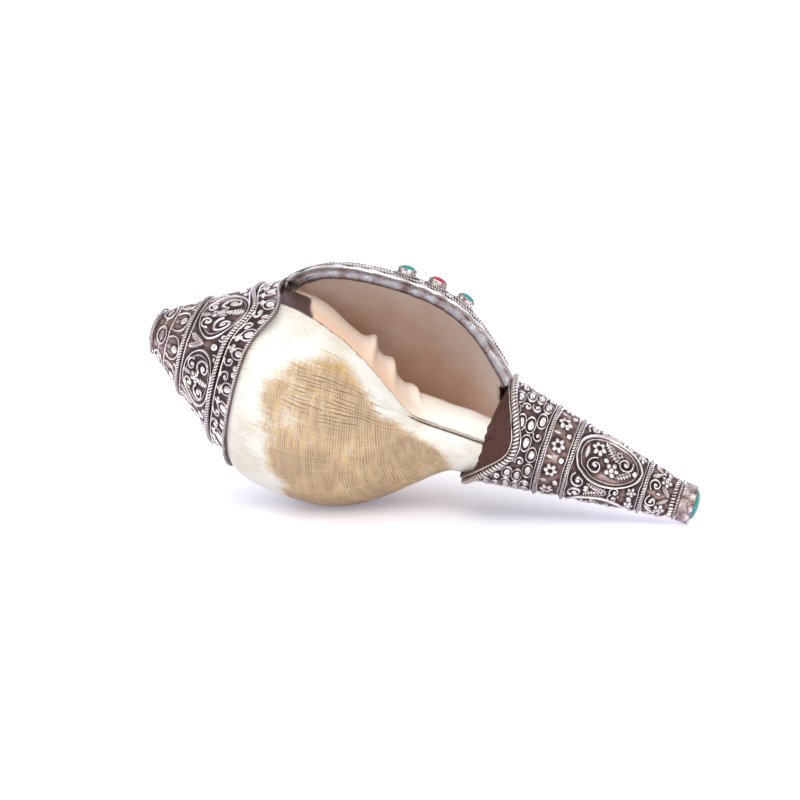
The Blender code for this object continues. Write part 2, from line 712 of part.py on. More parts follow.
def resting_pitch():
    """Pitch at which the worn flat on the belly and the tail's collar share one plane."""
    belly = [shell_point(x * MM, math.radians(turned)) for x in range(64, 134, 2)
             for turned in range(150, 240, 3)]
    heel = [Vector((x, 0.0, tail_height(x) - COLLAR_RADIUS)) for x in (TAIL_END, COLLAR_END)]
    low, high = 0.0, math.radians(30.0)
    while high - low > 1e-7:
        middle = 0.5 * (low + high)
        turn = Matrix.Rotation(middle, 3, "Y") @ Matrix.Rotation(REST_ROLL, 3, "X")
        belly_low = min((turn @ spot).z for spot in belly)
        heel_low = min((turn @ spot).z for spot in heel)
        if heel_low > belly_low + REST_FLAT_DEPTH:
            low = middle
        else:
            high = middle
    return low, belly_low + REST_FLAT_DEPTH


def stand_on_floor(root, shell):
    """Pitch the instrument, cut the worn flat and bring the middle of its box over the origin."""
    pitch, floor = resting_pitch()
    root.rotation_euler = (REST_ROLL, pitch, 0.0)
    root.location = (0.0, 0.0, -floor)
    bpy.context.view_layer.update()
    spots = [piece.matrix_world @ vert.co for piece in bpy.data.objects
             if piece.type == "MESH" and not piece.hide_render for vert in piece.data.vertices]
    middle_x = 0.5 * (min(spot.x for spot in spots) + max(spot.x for spot in spots))
    middle_y = 0.5 * (min(spot.y for spot in spots) + max(spot.y for spot in spots))
    root.location = (-middle_x, -middle_y, -floor)
    bm = bmesh.new()
    bmesh.ops.create_cube(bm, size=1.0)
    bmesh.ops.scale(bm, vec=(0.4, 0.3, 0.02), verts=bm.verts)
    bmesh.ops.translate(bm, vec=(0.0, 0.0, -0.01), verts=bm.verts)
    cut(shell, make_object("floor_cutter", bm))


def main():
    for old in list(bpy.data.objects):
        bpy.data.objects.remove(old, do_unlink=True)
    root = bpy.data.objects.new("instrument_axis", None)
    bpy.context.scene.collection.objects.link(root)
    silver = material("silver", (0.62, 0.58, 0.54), 0.38, 1.0)
    lac = material("lac", (0.12, 0.05, 0.04), 0.6, 0.0)
    turquoise = material("turquoise", (0.02, 0.50, 0.47), 0.3, 0.0)
    coral = material("coral", (0.62, 0.04, 0.05), 0.3, 0.0)
    shell = build_shell(root)
    build_cap(root, silver, lac)
    build_mouthpiece(root, silver)
    build_binding(root, silver)
    build_band(root, silver)
    build_bezels(root, silver, (turquoise, coral, turquoise))
    build_tail(root, silver, lac, turquoise)
    stand_on_floor(root, shell)


main()
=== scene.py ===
"""Conch shell trumpet with silver mounts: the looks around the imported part."""

import json
import math

import bmesh
import bpy
import numpy as np
from mathutils import Matrix, Vector


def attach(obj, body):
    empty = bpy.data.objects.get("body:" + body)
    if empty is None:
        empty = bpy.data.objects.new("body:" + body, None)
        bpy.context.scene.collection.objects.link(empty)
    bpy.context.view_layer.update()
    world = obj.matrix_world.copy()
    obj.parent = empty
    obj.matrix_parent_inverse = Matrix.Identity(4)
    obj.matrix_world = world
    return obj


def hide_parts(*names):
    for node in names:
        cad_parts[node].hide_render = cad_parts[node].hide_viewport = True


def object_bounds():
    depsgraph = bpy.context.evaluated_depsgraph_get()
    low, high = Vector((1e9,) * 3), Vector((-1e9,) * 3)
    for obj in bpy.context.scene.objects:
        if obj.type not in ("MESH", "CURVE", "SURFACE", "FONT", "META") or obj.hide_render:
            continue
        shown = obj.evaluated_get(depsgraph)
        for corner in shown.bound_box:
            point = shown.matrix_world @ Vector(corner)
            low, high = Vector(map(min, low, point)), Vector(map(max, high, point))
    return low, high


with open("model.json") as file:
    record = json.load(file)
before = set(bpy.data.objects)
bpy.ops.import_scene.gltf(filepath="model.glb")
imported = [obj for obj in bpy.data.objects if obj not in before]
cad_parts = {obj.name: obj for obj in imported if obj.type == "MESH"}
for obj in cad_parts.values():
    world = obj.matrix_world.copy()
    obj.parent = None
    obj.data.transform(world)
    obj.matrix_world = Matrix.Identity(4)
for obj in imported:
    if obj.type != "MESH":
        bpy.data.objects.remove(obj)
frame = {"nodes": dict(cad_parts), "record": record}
box_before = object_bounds()

TAU = math.tau
MM = 0.001

# Shell, in millimetres: the same spiral as the part's own
CAP_EDGE = 63.0
LIP_ANGLE = math.radians(95.0)
GROWTH = 1.5
LIP_RADIUS = 71.5
SPIRE_START = 9.0
SHELL_END = 188.0
APEX_BACK = 14.0
LIP_PEAK = 110.0
SHOULDER_START = CAP_EDGE - 2.0
SHOULDER_RISE = 0.7
LIP_FALL = 70.0
FALL_SPAN = math.radians(1400.0)
FALL_REACH = 1.5
FALL_BEND = 1.7
LIP_SPREAD = 8.0
LIP_SPREAD_SPAN = math.radians(50.0)
LIP_FLARE = 1.4
LIP_FLARE_SPAN = math.radians(30.0)
LIP_EXTRA = 0.3
CANAL_RADIUS = 14.4
CANAL_TAPER = 0.12
CANAL_TAPER_END = SHELL_END - 5.0
CANAL_TAPER_LENGTH = 25.0
CANAL_SWELL = 4.0
CANAL_SWELL_TURN = math.radians(335.0)
CANAL_SWELL_SPAN = math.radians(35.0)
CANAL_SWELL_PLACE = (SHELL_END - 30.0, SHELL_END - 10.0)
AXIS_DROP = 6.5
AXIS_DROP_LENGTH = 95.0
WALL = 4.6
CALLUS = 0.8
CALLUS_TURNS = (math.radians(325.0), math.radians(352.0))
PARIETAL_HOLLOW = 4.5
PARIETAL_X = 101.0
PARIETAL_WIDTH = 15.0
PARIETAL_TURNS = tuple(math.radians(turn) for turn in (290.0, 350.0, 400.0, 480.0))
GROOVE_DEPTH = 3.0
GROOVE_ANGLE = math.radians(154.0)
GROOVE_WIDTH = math.radians(3.4)
GROOVE_START = 144.0
FOLDS = ((117.0, 5.0), (129.5, 4.4), (144.0, 2.6))
FOLD_BACK = 4.0
FOLD_FRONT = 1.7
FOLD_TURNS = tuple(math.radians(turn) for turn in (-40.0, -4.0, 60.0, 200.0))

# Hollow of the whorl, its turns in degrees, and the bore that leads to it
CAVITY_MOUTH = (-16.0, -12.0, -8.0, -4.0, -2.0, 0.0, 2.0, 4.0)
CAVITY_TURN = 480.0
CAVITY_START = 20.0
CAVITY_END = 200.0
CAVITY_STEPS = 721
CAVITY_FLOOR_POINTS = 150
CAVITY_ROOF_POINTS = 60
CAVITY_LEAST = 0.8
CAVITY_SINK = 0.25
CAVITY_LIFT = 0.12
BLOW_BORE_RADIUS = 6.3
BLOW_BORE_LENGTH = 30.0
CHANNEL_RADIUS = 4.5
BREAK_DEPTH = 1.3
BREAK_AT_LIP = (0.5, 0.35)

# Weathered patch and glossy inner lip: station and degrees behind the lip, or the other way in PATCH_FRONT
PATCH_EDGE = ((70.0, 286.0), (90.0, 303.0), (110.0, 309.0), (127.0, 300.0), (145.0, 281.0),
              (160.0, 268.0), (178.0, 250.0))
PATCH_FRONT = ((180.0, 98.0), (222.0, 95.0), (240.0, 89.0), (258.0, 81.0), (276.0, 78.0), (297.0, 74.0))
PATCH_FADES = {"edge": (22.0, -14.0), "front": (-13.0, 9.0), "tail": (190.0, 168.0), "lip": (60.0, 130.0)}
PATCH_SLANT = 0.12
GLAZE_EDGE = ((76.0, 338.0), (104.0, 335.0), (115.0, 328.0), (127.0, 323.0), (137.0, 316.0),
              (148.0, 305.0), (190.0, 303.0))
SMEAR_END = (85.5, 83.0)
SMEAR_TURN = 341.0

# Silver, in millimetres
FACE_POINT_RADIUS = 8.0
CAP_RADIUS = 10.0
CAP_FLARE = 0.665
CAP_DROP = 0.06
CAP_START = 1.5
CAP_REACH = 8.0
REACH_ANGLE = math.radians(130.0)
REACH_SPREAD = math.radians(16.0)
SHEET = 0.8
LAC = 1.2
GAP = 0.3
CAP_ROPES = (0.39 * CAP_EDGE, 0.79 * CAP_EDGE)
TAIL_START = SHELL_END + 2.0
TAIL_RADIUS = 28.0
TAIL_TAPER = 0.187
TAIL_LIFT = 6.1
TAIL_BEND = 0.0568
TAIL_END = TAIL_START + 100.0
TAIL_ROPES = tuple(TAIL_START + along for along in (28.0, 42.0, 81.0, 99.0))
RIM_X = TAIL_START - 4.5
RIM_TILT = 2.8
RIM_NOTCH = 16.0
NOTCH_ANGLE = math.radians(182.0)
NOTCH_SPREAD = (math.radians(52.0), math.radians(38.0))
TONGUE = 4.0
TONGUE_ANGLE = math.radians(264.0)
TONGUE_SPREAD = math.radians(28.0)
RIM_ROPE_BACK = 2.6

# Ornament: zones by start, end, tiles round the turn and phase, lines by width and height
RELIEF = 1.25
SINK = 0.35
EDGE_TURN = 1.6
CAP_LOOPS = (4.4, 12.6, 7, 0.2)
CAP_TABS = (13.6, 23.0, 9)
CAP_CARTOUCHES = (CAP_ROPES[0] + 1.2, CAP_ROPES[1] - 1.6, 6, 0.32)
CAP_STRIP = (CAP_ROPES[1] + 1.9, CAP_EDGE - 0.9, 21)
CAP_BEADS = (13.1, CAP_ROPES[0] - 1.7, CAP_ROPES[0] + 1.7)
CAP_LINES = (CAP_ROPES[1] - 2.1, CAP_ROPES[1] + 2.0)
TAIL_ROWS = (188.5, 193.5, 198.5, 203.5, 208.5, 213.3)
TAIL_ROW_HALF = 2.9
TAIL_FLOWERS = (TAIL_ROPES[0] + 1.8, TAIL_ROPES[1] - 1.8, 10, 0.15)
TAIL_CARTOUCHES = (TAIL_ROPES[1] + 1.8, TAIL_ROPES[2] - 1.6, 3, 0.275)
TAIL_FIELD = (TAIL_ROPES[2] + 1.5, TAIL_ROPES[3] - 3.6, 6, 0.1)
TAIL_LINES = (TAIL_ROPES[0] - 1.4, TAIL_ROPES[0] + 1.4, TAIL_ROPES[1] - 1.4, TAIL_ROPES[1] + 1.4,
              TAIL_ROPES[2] - 1.3, TAIL_ROPES[2] + 1.3)
HEART = 0.3
FAR = 9.0
WAVES = 14
BOLD = (0.65, 1.15)
PLAIN = (0.6, 1.1)
FINE = (0.45, 0.85)

# Wires round the cones: node, station, radius, pitch, points round the turn, share of the edge followed
CAP_WIRES = (("mouthpiece_rim_wire", 2.7, 0.7, 1.2, 600, 0.0),
             ("cap_rope_front", CAP_ROPES[0], 1.0, 1.5, 900, 0.0),
             ("cap_rope_rear", CAP_ROPES[1], 1.2, 1.7, 1400, 1.0),
             ("cap_edge_wire", CAP_EDGE - 0.7, 0.7, 1.4, 1900, 1.0))
TAIL_WIRES = (("tail_rim_rope", RIM_ROPE_BACK, 1.7, 2.0, 1100, 1.0),
              *((f"tail_rope_{number}", station, wire, 1.5, 800, 0.0) for number, station, wire in
                zip((1, 2, 3, 4), TAIL_ROPES, (0.85, 0.85, 0.8, 0.7))))
ROPE_DEPTH = 0.45
ROPE_SIDES = 14

# Lip mount, in millimetres, with the binding's notches by their share of the lip's length
BAND_FROM = 2.4
BAND_WIDTH = 14.6
BAND_END = BAND_FROM + BAND_WIDTH
BAND_BASE = 0.35
LIP_SAMPLES = 400
LIP_STEP = 0.3
LIP_TURN = 0.004
VINE_SPAN = 15.0
VINE_SWING = 2.2
LIP_WIRES = (("lip_wire_front", BAND_FROM - 0.2, 0.6), ("lip_wire_rear", BAND_END + 0.2, 0.8))
LIP_WIRE_PITCH = 1.7
INNER_LEG = (3.4, 7.4)
MOUNT_START = CAP_EDGE + 2.0
MOUNT_END = SHELL_END - 2.0
BINDING_WIDENS = (MOUNT_END - 42.0, MOUNT_END - 10.0)
BINDING_NOTCHES = (0.10, 0.17, 0.26, 0.29, 0.34, 0.62, 0.70, 0.86)
BINDING_CURL = (75.5, 2.6)
BEZEL_PLACES = (122.0, 138.5, 154.0)
BEZEL_BACK = BAND_FROM + 0.5 * BAND_WIDTH
COLLAR_RADIUS = 6.0
COLLAR_WIRE = 0.62
COLLAR_PITCH = 1.25

# Colours
CHALK = (0.87, 0.85, 0.80)
CREAM = (0.80, 0.73, 0.62)
OCHRE = (0.66, 0.42, 0.17)
DULL_OCHRE = (0.54, 0.36, 0.21)
RICH_OCHRE = (0.68, 0.40, 0.12)
WORN_OCHRE = (0.80, 0.64, 0.38)
THREAD_BROWN = (0.22, 0.11, 0.04)
SCRATCH_BROWN = (0.11, 0.055, 0.022)
SEAM_BROWN = (0.28, 0.13, 0.05)
CRACK_BLACK = (0.035, 0.018, 0.014)
BROKEN_SHELL = (0.60, 0.46, 0.34)
FOLD_TAN = (0.85, 0.61, 0.47)
FLOOR_CREAM = (0.91, 0.81, 0.72)
# Roof at the lip and deep in; the pale lip end is partly the shell's colour, partly painted light for the
# little light the roof gets from below
ROOF = ((0.97, 0.89, 0.83), (0.74, 0.48, 0.35))
ROOF_END = (0.90, 0.80, 0.72)
SPECK_BROWN = (0.12, 0.06, 0.04)
PEARL = ((0.84, 0.58, 0.41), (0.86, 0.70, 0.58))
PEARL_WHITE = (0.89, 0.82, 0.74)
BRIGHT_SILVER = (0.84, 0.82, 0.80)
DULL_SILVER = (0.60, 0.56, 0.54)
OLD_SILVER = (0.33, 0.27, 0.255)
SHEET_SILVER = (0.20, 0.20, 0.195)
TARNISH = (0.15, 0.075, 0.068)
DEEP_TARNISH = (0.022, 0.010, 0.010)
TURQUOISE = ((0.002, 0.29, 0.28), (0.02, 0.18, 0.17))
CORAL = ((0.50, 0.015, 0.025), (0.28, 0.006, 0.012))
# Lac of the lining and beds, far paler than the fillet's lac: painted light that makes up for the little
# light inside the sleeve
LINING_LAC_PAINTED_LIGHT = ((0.52, 0.23, 0.19), (0.38, 0.15, 0.12))
FILLET_LAC = ((0.085, 0.032, 0.026), (0.05, 0.018, 0.015))
SMEARED_LAC = ((0.035, 0.013, 0.012), (0.10, 0.04, 0.036))
LAC_ROUGH = 0.6
THREAD_PITCH = 1.6
SCRATCH_PITCH = 2.2
CRACK_TURN = 301.0

# Stage, light and camera, in metres and watts
FLOOR_FRONT = -1.6
FLOOR_HALF = 2.6
BACKDROP_START = 1.2
BACKDROP_BEND = 0.8
BACKDROP_TOP = 2.6
FLOOR_WHITE = (0.90, 0.90, 0.91, 1.0)
# Violet glow, weaker near the middle of the stage: painted light that lightens the object's shadow on the
# floor and tints it violet
FLOOR_GLOW_VIOLET = (0.80, 0.78, 1.0, 1.0)
FLOOR_GLOW_SPAN = (0.03, 0.30)
FLOOR_GLOW = (0.23, 1.45)
SKY_HEIGHTS = (0.0, 0.9)
SKY_LIGHT = (0.22, 1.15)
LAMP_TARGET = Vector((0.0, 0.0, 0.06))
LAMPS = (("key", (0.1, -0.75, 1.05), (0.9, 0.9), 4.5), ("front", (0.35, -1.25, 0.17), (0.9, 0.3), 4.5))
LENS = 85.0
AZIMUTH = math.radians(13.0)
ELEVATION = math.radians(11.1)
DISTANCE = 0.985
AIM_LEFT = 0.0111
AIM_DOWN = 0.0075

# Half the window, in rows and columns, over which the mean tells hollows from ridges
WINDOW = ((9, 10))


def ease(low, high, value):
    t = np.clip((value - low) / (high - low), 0.0, 1.0)
    return t * t * (3.0 - 2.0 * t)


def window(value, start, full, fading, end):
    """One from full to fading, easing to nothing at start and at end."""
    return ease(start, full, value) * (1.0 - ease(fading, end, value))


def bell(value, centre, width):
    return np.exp(-((value - centre) / width) ** 2)


def instrument_matrix():
    """From the instrument's own axis, x from the mouthpiece, to the world."""
    face = next(m for m in frame["record"]["mounts"] if m["name"] == "mouthpiece_face")
    along = -Vector(face["axis"])
    pitch = math.atan2(-along.z, along.x)
    origin = Vector(face["pos_m"]) - Vector((0.0, FACE_POINT_RADIUS * MM, 0.0))
    return Matrix.Translation(origin) @ Matrix.Rotation(pitch, 4, "Y")


TO_WORLD = instrument_matrix()


def to_world(points):
    """Points in millimetres along the instrument, as world metres."""
    turn = np.array(TO_WORLD.to_3x3())
    return points.reshape(-1, 3) * MM @ turn.T + np.array(TO_WORLD.translation)


def shrink(turned):
    return GROWTH ** (-turned / TAU)


def along_spiral(x, turned):
    return (x + APEX_BACK) * shrink(turned) - APEX_BACK


def axis_height(x):
    return -AXIS_DROP * np.tanh(x / AXIS_DROP_LENGTH)


def spire_radius(x):
    return CAP_RADIUS + CAP_FLARE * x - SHEET - LAC - 2.0 * GAP - 0.3


def fold_height(x, turned):
    inward = turned - TAU
    height = 0.0
    for place, rise in FOLDS:
        offset = x - along_spiral(place, inward)
        height = height + rise * bell(offset, 0.0, np.where(offset > 0.0, FOLD_FRONT, FOLD_BACK))
    return window(inward, *FOLD_TURNS) * height


def canal_radius(x, turned):
    canal = CANAL_RADIUS + CANAL_TAPER * np.clip(CANAL_TAPER_END - x, 0.0, CANAL_TAPER_LENGTH)
    swell = CANAL_SWELL * bell(turned, CANAL_SWELL_TURN, CANAL_SWELL_SPAN)
    return (canal + swell * ease(*CANAL_SWELL_PLACE, x)) * np.minimum(1.0, shrink(turned - TAU))


def shell_radius(x, turned):
    """Outer radius of the whorl at x, this far behind the lip."""
    wide = LIP_RADIUS * shrink(turned) + LIP_FLARE * bell(turned, 0.0, LIP_FLARE_SPAN)
    shoulder = np.minimum(SHOULDER_START, (wide - 1.5 - spire_radius(0.0)) / CAP_FLARE)
    radius = spire_radius(np.minimum(x, shoulder))
    rise = wide - radius
    radius = radius + rise * (1.0 - np.exp(-np.maximum(0.0, x - shoulder) / (SHOULDER_RISE * rise)))
    fall = LIP_FALL * (1.0 - turned / FALL_SPAN) + LIP_SPREAD * bell(turned, 0.0, LIP_SPREAD_SPAN)
    t = np.maximum(0.0, (x - along_spiral(LIP_PEAK, turned)) / fall)
    canal = canal_radius(x, turned)
    share = 0.5 * (1.0 + np.cos(math.pi * np.minimum(1.0, t / FALL_REACH) ** FALL_BEND))
    radius = np.where(t > 0.0, canal + (radius - canal) * share, radius)
    radius = radius - PARIETAL_HOLLOW * window(turned, *PARIETAL_TURNS) * bell(x, PARIETAL_X, PARIETAL_WIDTH)
    callus = CALLUS * ease(*CALLUS_TURNS, turned)
    radius = radius + callus * ease(SHOULDER_START, SHOULDER_START + 8.0, x)
    groove = GROOVE_DEPTH * bell(LIP_ANGLE - turned + TAU, GROOVE_ANGLE, GROOVE_WIDTH)
    radius = radius - groove * ease(GROOVE_START, GROOVE_START + 9.0, x)
    return radius + fold_height(x, turned) + LIP_EXTRA * (1.0 - turned / TAU)


def axis_points(x, radius, theta, height):
    """Points at a radius and an angle about an axis that runs at this height."""
    return np.stack(np.broadcast_arrays(x, radius * np.cos(theta), height + radius * np.sin(theta)), axis=-1)


def on_axis(x, radius, theta):
    return axis_points(x, radius, theta, axis_height(x))


def full_turn(count):
    return np.linspace(0.0, TAU, count, endpoint=False)


def grid_faces(rows, columns, closed=False):
    """Quads of a grid of points, row by row."""
    here = np.arange(rows * columns).reshape(rows, columns)
    if closed:
        here = np.concatenate([here, here[:, :1]], axis=1)
    return np.stack([here[:-1, :-1], here[:-1, 1:], here[1:, 1:], here[1:, :-1]], axis=-1).reshape(-1, 4)


def make_mesh(name, points, faces, finish, caps=()):
    """Mesh object from arrays of points in the instrument's millimetres and of quads."""
    points = points.reshape(-1, 3)
    mesh = bpy.data.meshes.new(name)
    loops = faces.size + sum(len(cap) for cap in caps)
    mesh.vertices.add(len(points))
    mesh.vertices.foreach_set("co", to_world(points).astype(np.float32).ravel())
    mesh.loops.add(loops)
    mesh.loops.foreach_set("vertex_index", np.concatenate([faces.ravel(), *caps]).astype(np.int32))
    mesh.polygons.add(len(faces) + len(caps))
    starts = [np.arange(len(faces)) * faces.shape[1]]
    begin = faces.size
    for cap in caps:
        starts.append([begin])
        begin += len(cap)
    mesh.polygons.foreach_set("loop_start", np.concatenate(starts).astype(np.int32))
    mesh.update(calc_edges=True)
    mesh.validate()
    mesh.shade_smooth()
    if finish:
        mesh.materials.append(finish)
    piece = bpy.data.objects.new(name, mesh)
    bpy.context.scene.collection.objects.link(piece)
    store(mesh, "place", points, "FLOAT_VECTOR")
    return piece


def store(mesh, name, values, kind="FLOAT"):
    layer = mesh.attributes.new(name, kind, "POINT")
    layer.data.foreach_set("vector" if kind == "FLOAT_VECTOR" else "value",
                           np.asarray(values, dtype=np.float32).ravel())


def spots_of(mesh):
    """Where the vertices are, in world metres."""
    spots = np.empty(len(mesh.vertices) * 3, dtype=np.float32)
    mesh.vertices.foreach_get("co", spots)
    return spots.reshape(-1, 3)


def keep(piece, node):
    """Hand a finished piece over in place of a node, held inside the part's own box."""
    low, high = (np.array(corner, dtype=np.float32) for corner in box_before)
    piece.data.vertices.foreach_set("co", np.clip(spots_of(piece.data), low, high).ravel())
    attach(piece, "root")
    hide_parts(node)


def cavity_loops(turns):
    """Rings of the whorl's cavity, a roof under the whorl and a floor on the one before."""
    xs = np.linspace(CAVITY_START, CAVITY_END, CAVITY_STEPS)
    step = xs[1] - xs[0]
    rings = []
    for turned in turns:
        roof = shell_radius(xs, turned)
        slope = np.gradient(roof, step)
        length = np.sqrt(1.0 + slope ** 2)
        roof = np.interp(xs, np.maximum.accumulate(xs + WALL * slope / length), roof - WALL / length)
        lift = CAVITY_LIFT * math.degrees(max(0.0, -turned)) - CAVITY_SINK
        floor = shell_radius(xs, turned + TAU) + lift
        open_at = np.flatnonzero(roof - floor > CAVITY_LEAST)
        start, end = xs[open_at[0]], xs[open_at[-1]]
        last = along_spiral(FOLDS[-1][0], turned) + 3.0 * FOLD_FRONT
        end = max(end, last + 4.0)
        share = np.linspace(0.0, 1.0, CAVITY_FLOOR_POINTS, endpoint=False)
        floor_xs = start + (end - start) * share
        angle = math.pi * np.linspace(0.0, 1.0, CAVITY_ROOF_POINTS)[1:-1]
        roof_xs = end - (end - start) * (0.5 - 0.5 * np.cos(angle))
        high = np.maximum(np.interp(roof_xs, xs, roof), np.interp(roof_xs, xs, floor) + 0.3)
        theta = LIP_ANGLE - turned
        rings.append(np.concatenate([on_axis(floor_xs, np.interp(floor_xs, xs, floor), theta),
                                     on_axis(roof_xs, high, theta)]))
    return np.array(rings)


def face_outward(mesh):
    """Turn the faces of a closed mesh outwards."""
    bm = bmesh.new()
    bm.from_mesh(mesh)
    bmesh.ops.recalc_face_normals(bm, faces=bm.faces)
    bm.to_mesh(mesh)
    bm.free()


def difference(piece, cutter):
    """Cut one mesh by another and keep the result as the first one's own mesh."""
    face_outward(piece.data)
    face_outward(cutter.data)
    cut = piece.modifiers.new("cut", "BOOLEAN")
    cut.operation, cut.solver, cut.object = "DIFFERENCE", "EXACT", cutter
    cut.material_mode = "TRANSFER"
    shaped = bpy.data.meshes.new_from_object(piece.evaluated_get(bpy.context.evaluated_depsgraph_get()))
    piece.modifiers.clear()
    piece.data = shaped
    bpy.data.objects.remove(cutter)


def drilled(name, start, end, radius, finish, sides=64):
    """Round cutter between two points."""
    run = (end - start) / np.linalg.norm(end - start)
    side = np.cross(run, (0.0, 0.0, 1.0))
    side /= np.linalg.norm(side)
    phi = full_turn(sides)[:, None]
    ring = radius * (np.cos(phi) * side + np.sin(phi) * np.cross(side, run))
    ends = (np.arange(sides), np.arange(2 * sides - 1, sides - 1, -1))
    return make_mesh(name, np.concatenate([start + ring, end + ring]), grid_faces(2, sides, closed=True),
                     finish, ends)


def broken_end(turned):
    """Where the shell was broken off, uneven and most of all at the lip."""
    rough = sum(np.sin(k * turned * 3.0 + 1.7 * k * k) / (1.0 + 0.35 * k) for k in range(1, 12))
    deep = 0.5 + 2.4 * bell(turned, *BREAK_AT_LIP)
    return SHELL_END - 0.1 - deep * (BREAK_DEPTH + 0.45 * np.clip(rough, -2.4, 2.4))


def mark_shell(mesh):
    """Where each point lies on the shell, for the colours: station, turn, weathering, glaze."""
    turn = np.array(TO_WORLD.to_3x3())
    place = (spots_of(mesh) - np.array(TO_WORLD.translation)) @ turn / MM
    x, y, z = place[:, 0], place[:, 1], place[:, 2] - axis_height(place[:, 0])
    reach = np.hypot(y, z)
    turned = (LIP_ANGLE - np.arctan2(z, y)) % TAU
    before = shell_radius(x, turned + TAU)
    on_floor = (reach < before + 0.35 * (shell_radius(x, turned) - before)).astype(float)
    degrees = np.degrees(turned)
    degrees = degrees + 360.0 * on_floor * (degrees < 2.0)
    patch = ease(*PATCH_FADES["edge"], degrees - np.interp(x, *zip(*PATCH_EDGE)))
    patch = patch * ease(*PATCH_FADES["front"], x - np.interp(degrees, *zip(*PATCH_FRONT)))
    patch = patch * ease(*PATCH_FADES["tail"], x + PATCH_SLANT * (degrees - 200.0))
    patch = patch * ease(*PATCH_FADES["lip"], degrees)
    glaze = (degrees - np.interp(x, *zip(*GLAZE_EDGE))) * math.pi / 180.0 * reach
    smear = ease(*SMEAR_END, x + 0.35 * (degrees - SMEAR_TURN) + 0.5 * np.sin(0.5 * reach + 1.1 * x))
    onward = degrees + 360.0 * (degrees < 180.0)
    marks = {"weathered": patch, "glaze": glaze, "turned": degrees, "floor": on_floor, "onward": onward,
             "broken": ease(0.55, 0.15, broken_end(turned) - x), "lac": smear * ease(-1.6, -0.4, glaze),
             "thread": (x + APEX_BACK) / shrink(turned)}
    for name, values in marks.items():
        store(mesh, name, values)
    if "place" in mesh.attributes:
        mesh.attributes.remove(mesh.attributes["place"])
    store(mesh, "place", place, "FLOAT_VECTOR")


def build_shell(outside, inside):
    """Fine copy of the shell: the spiral's outside less the hollow of its whorl."""
    count, sides = ((320, 480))
    turns = np.linspace(0.0, TAU, sides)[None, :]
    share = np.linspace(0.0, 1.0, count)[:, None]
    xs = SPIRE_START + (broken_end(turns) - SPIRE_START) * share
    grid = on_axis(xs, shell_radius(xs, turns), LIP_ANGLE - turns)
    ends = (np.arange(sides), np.arange((count - 1) * sides, count * sides)[::-1])
    shell = make_mesh("shell", grid, grid_faces(count, sides, closed=True), outside, ends)
    turns = np.radians([*CAVITY_MOUTH, *np.arange(6.0, CAVITY_TURN + 1.0, 2.0)])
    loops = cavity_loops(turns)
    ring = loops.shape[1]
    faces = grid_faces(len(turns), ring, closed=True)[:, ::-1]
    caps = (np.arange(ring), np.arange((len(turns) - 1) * ring, len(turns) * ring)[::-1])
    difference(shell, make_mesh("hollow", loops, faces, inside, caps))
    bore_start = np.array([SPIRE_START - 4.0, 0.0, cap_height(SPIRE_START)])
    bore_end = np.array([BLOW_BORE_LENGTH, 0.0, cap_height(BLOW_BORE_LENGTH)])
    difference(shell, drilled("bore", bore_start, bore_end, BLOW_BORE_RADIUS, inside))
    channel_start = bore_end - np.array([2.0, 0.0, 0.0])
    difference(shell, drilled("channel", channel_start, loops[-1].mean(axis=0), CHANNEL_RADIUS, inside))
    shell.data.shade_smooth()
    shell.data.set_sharp_from_angle(angle=math.radians(50.0))
    mark_shell(shell.data)
    keep(shell, "conch_shell")


def cap_surface(x):
    return CAP_RADIUS + CAP_FLARE * x


def cap_height(x):
    return -CAP_DROP * x


def cap_reach(theta):
    return CAP_REACH * bell(theta % TAU, REACH_ANGLE, REACH_SPREAD)


def tail_height(x):
    return TAIL_LIFT - TAIL_BEND * (x - TAIL_START)


def tail_surface(x):
    return TAIL_RADIUS - TAIL_TAPER * (x - TAIL_START)


def tail_rim(theta):
    theta = theta % TAU
    spread = np.where(theta < NOTCH_ANGLE, *NOTCH_SPREAD)
    notch = RIM_NOTCH * bell(theta, NOTCH_ANGLE, spread)
    return RIM_X + RIM_TILT * np.sin(theta) + notch - TONGUE * bell(theta, TONGUE_ANGLE, TONGUE_SPREAD)


def dome(a, b, length, width, height):
    """Raised oval."""
    return height * np.sqrt(np.clip(1.0 - (a / length) ** 2 - (b / width) ** 2, 0.0, None))


def turned_by(a, b, angle):
    c, s = math.cos(angle), math.sin(angle)
    return c * a + s * b, c * b - s * a


def loop_line(a, b, length, width, wire, height):
    """Raised line round an oval."""
    off = (np.hypot(a / length, b / width) - 1.0) * 0.5 * (length + width)
    return height * np.exp(-(off / wire) ** 2)


def spiral(a, b, radius, turns, start, hand, wire, height):
    """Raised line that winds into a curl with a bead at its heart."""
    reach = np.hypot(a, b)
    around = (hand * np.arctan2(b, a) - start) % TAU
    pitch = radius / turns
    best = np.full_like(reach, FAR)
    for k in range(int(turns) + 1):
        arm = pitch * (around / TAU + k)
        best = np.minimum(best, np.where(arm < radius, np.abs(reach - arm), FAR))
    bead = dome(a, b, HEART * radius, HEART * radius, height)
    return np.maximum(height * np.exp(-(best / wire) ** 2), bead)


def leaf(a, b, length, width, height, lobes=3):
    """Leaf along a, with a midrib and lobes to each side."""
    share = a / length
    edge = width * np.sqrt(np.clip(1.0 - share ** 2, 0.0, None)) * (0.78 + 0.22 * np.cos(lobes * TAU * share))
    body = np.clip(1.0 - np.abs(b) / np.maximum(edge, 1e-3), 0.0, 1.0)
    rib = 0.35 * np.exp(-(b / (0.16 * width)) ** 2) * (np.abs(share) < 0.9)
    veins = 0.22 * np.sin((a + 1.2 * np.abs(b)) * TAU * lobes / length)
    return height * np.where(body > 0.0, body ** 0.45 * (0.8 + veins) - rib, 0.0)


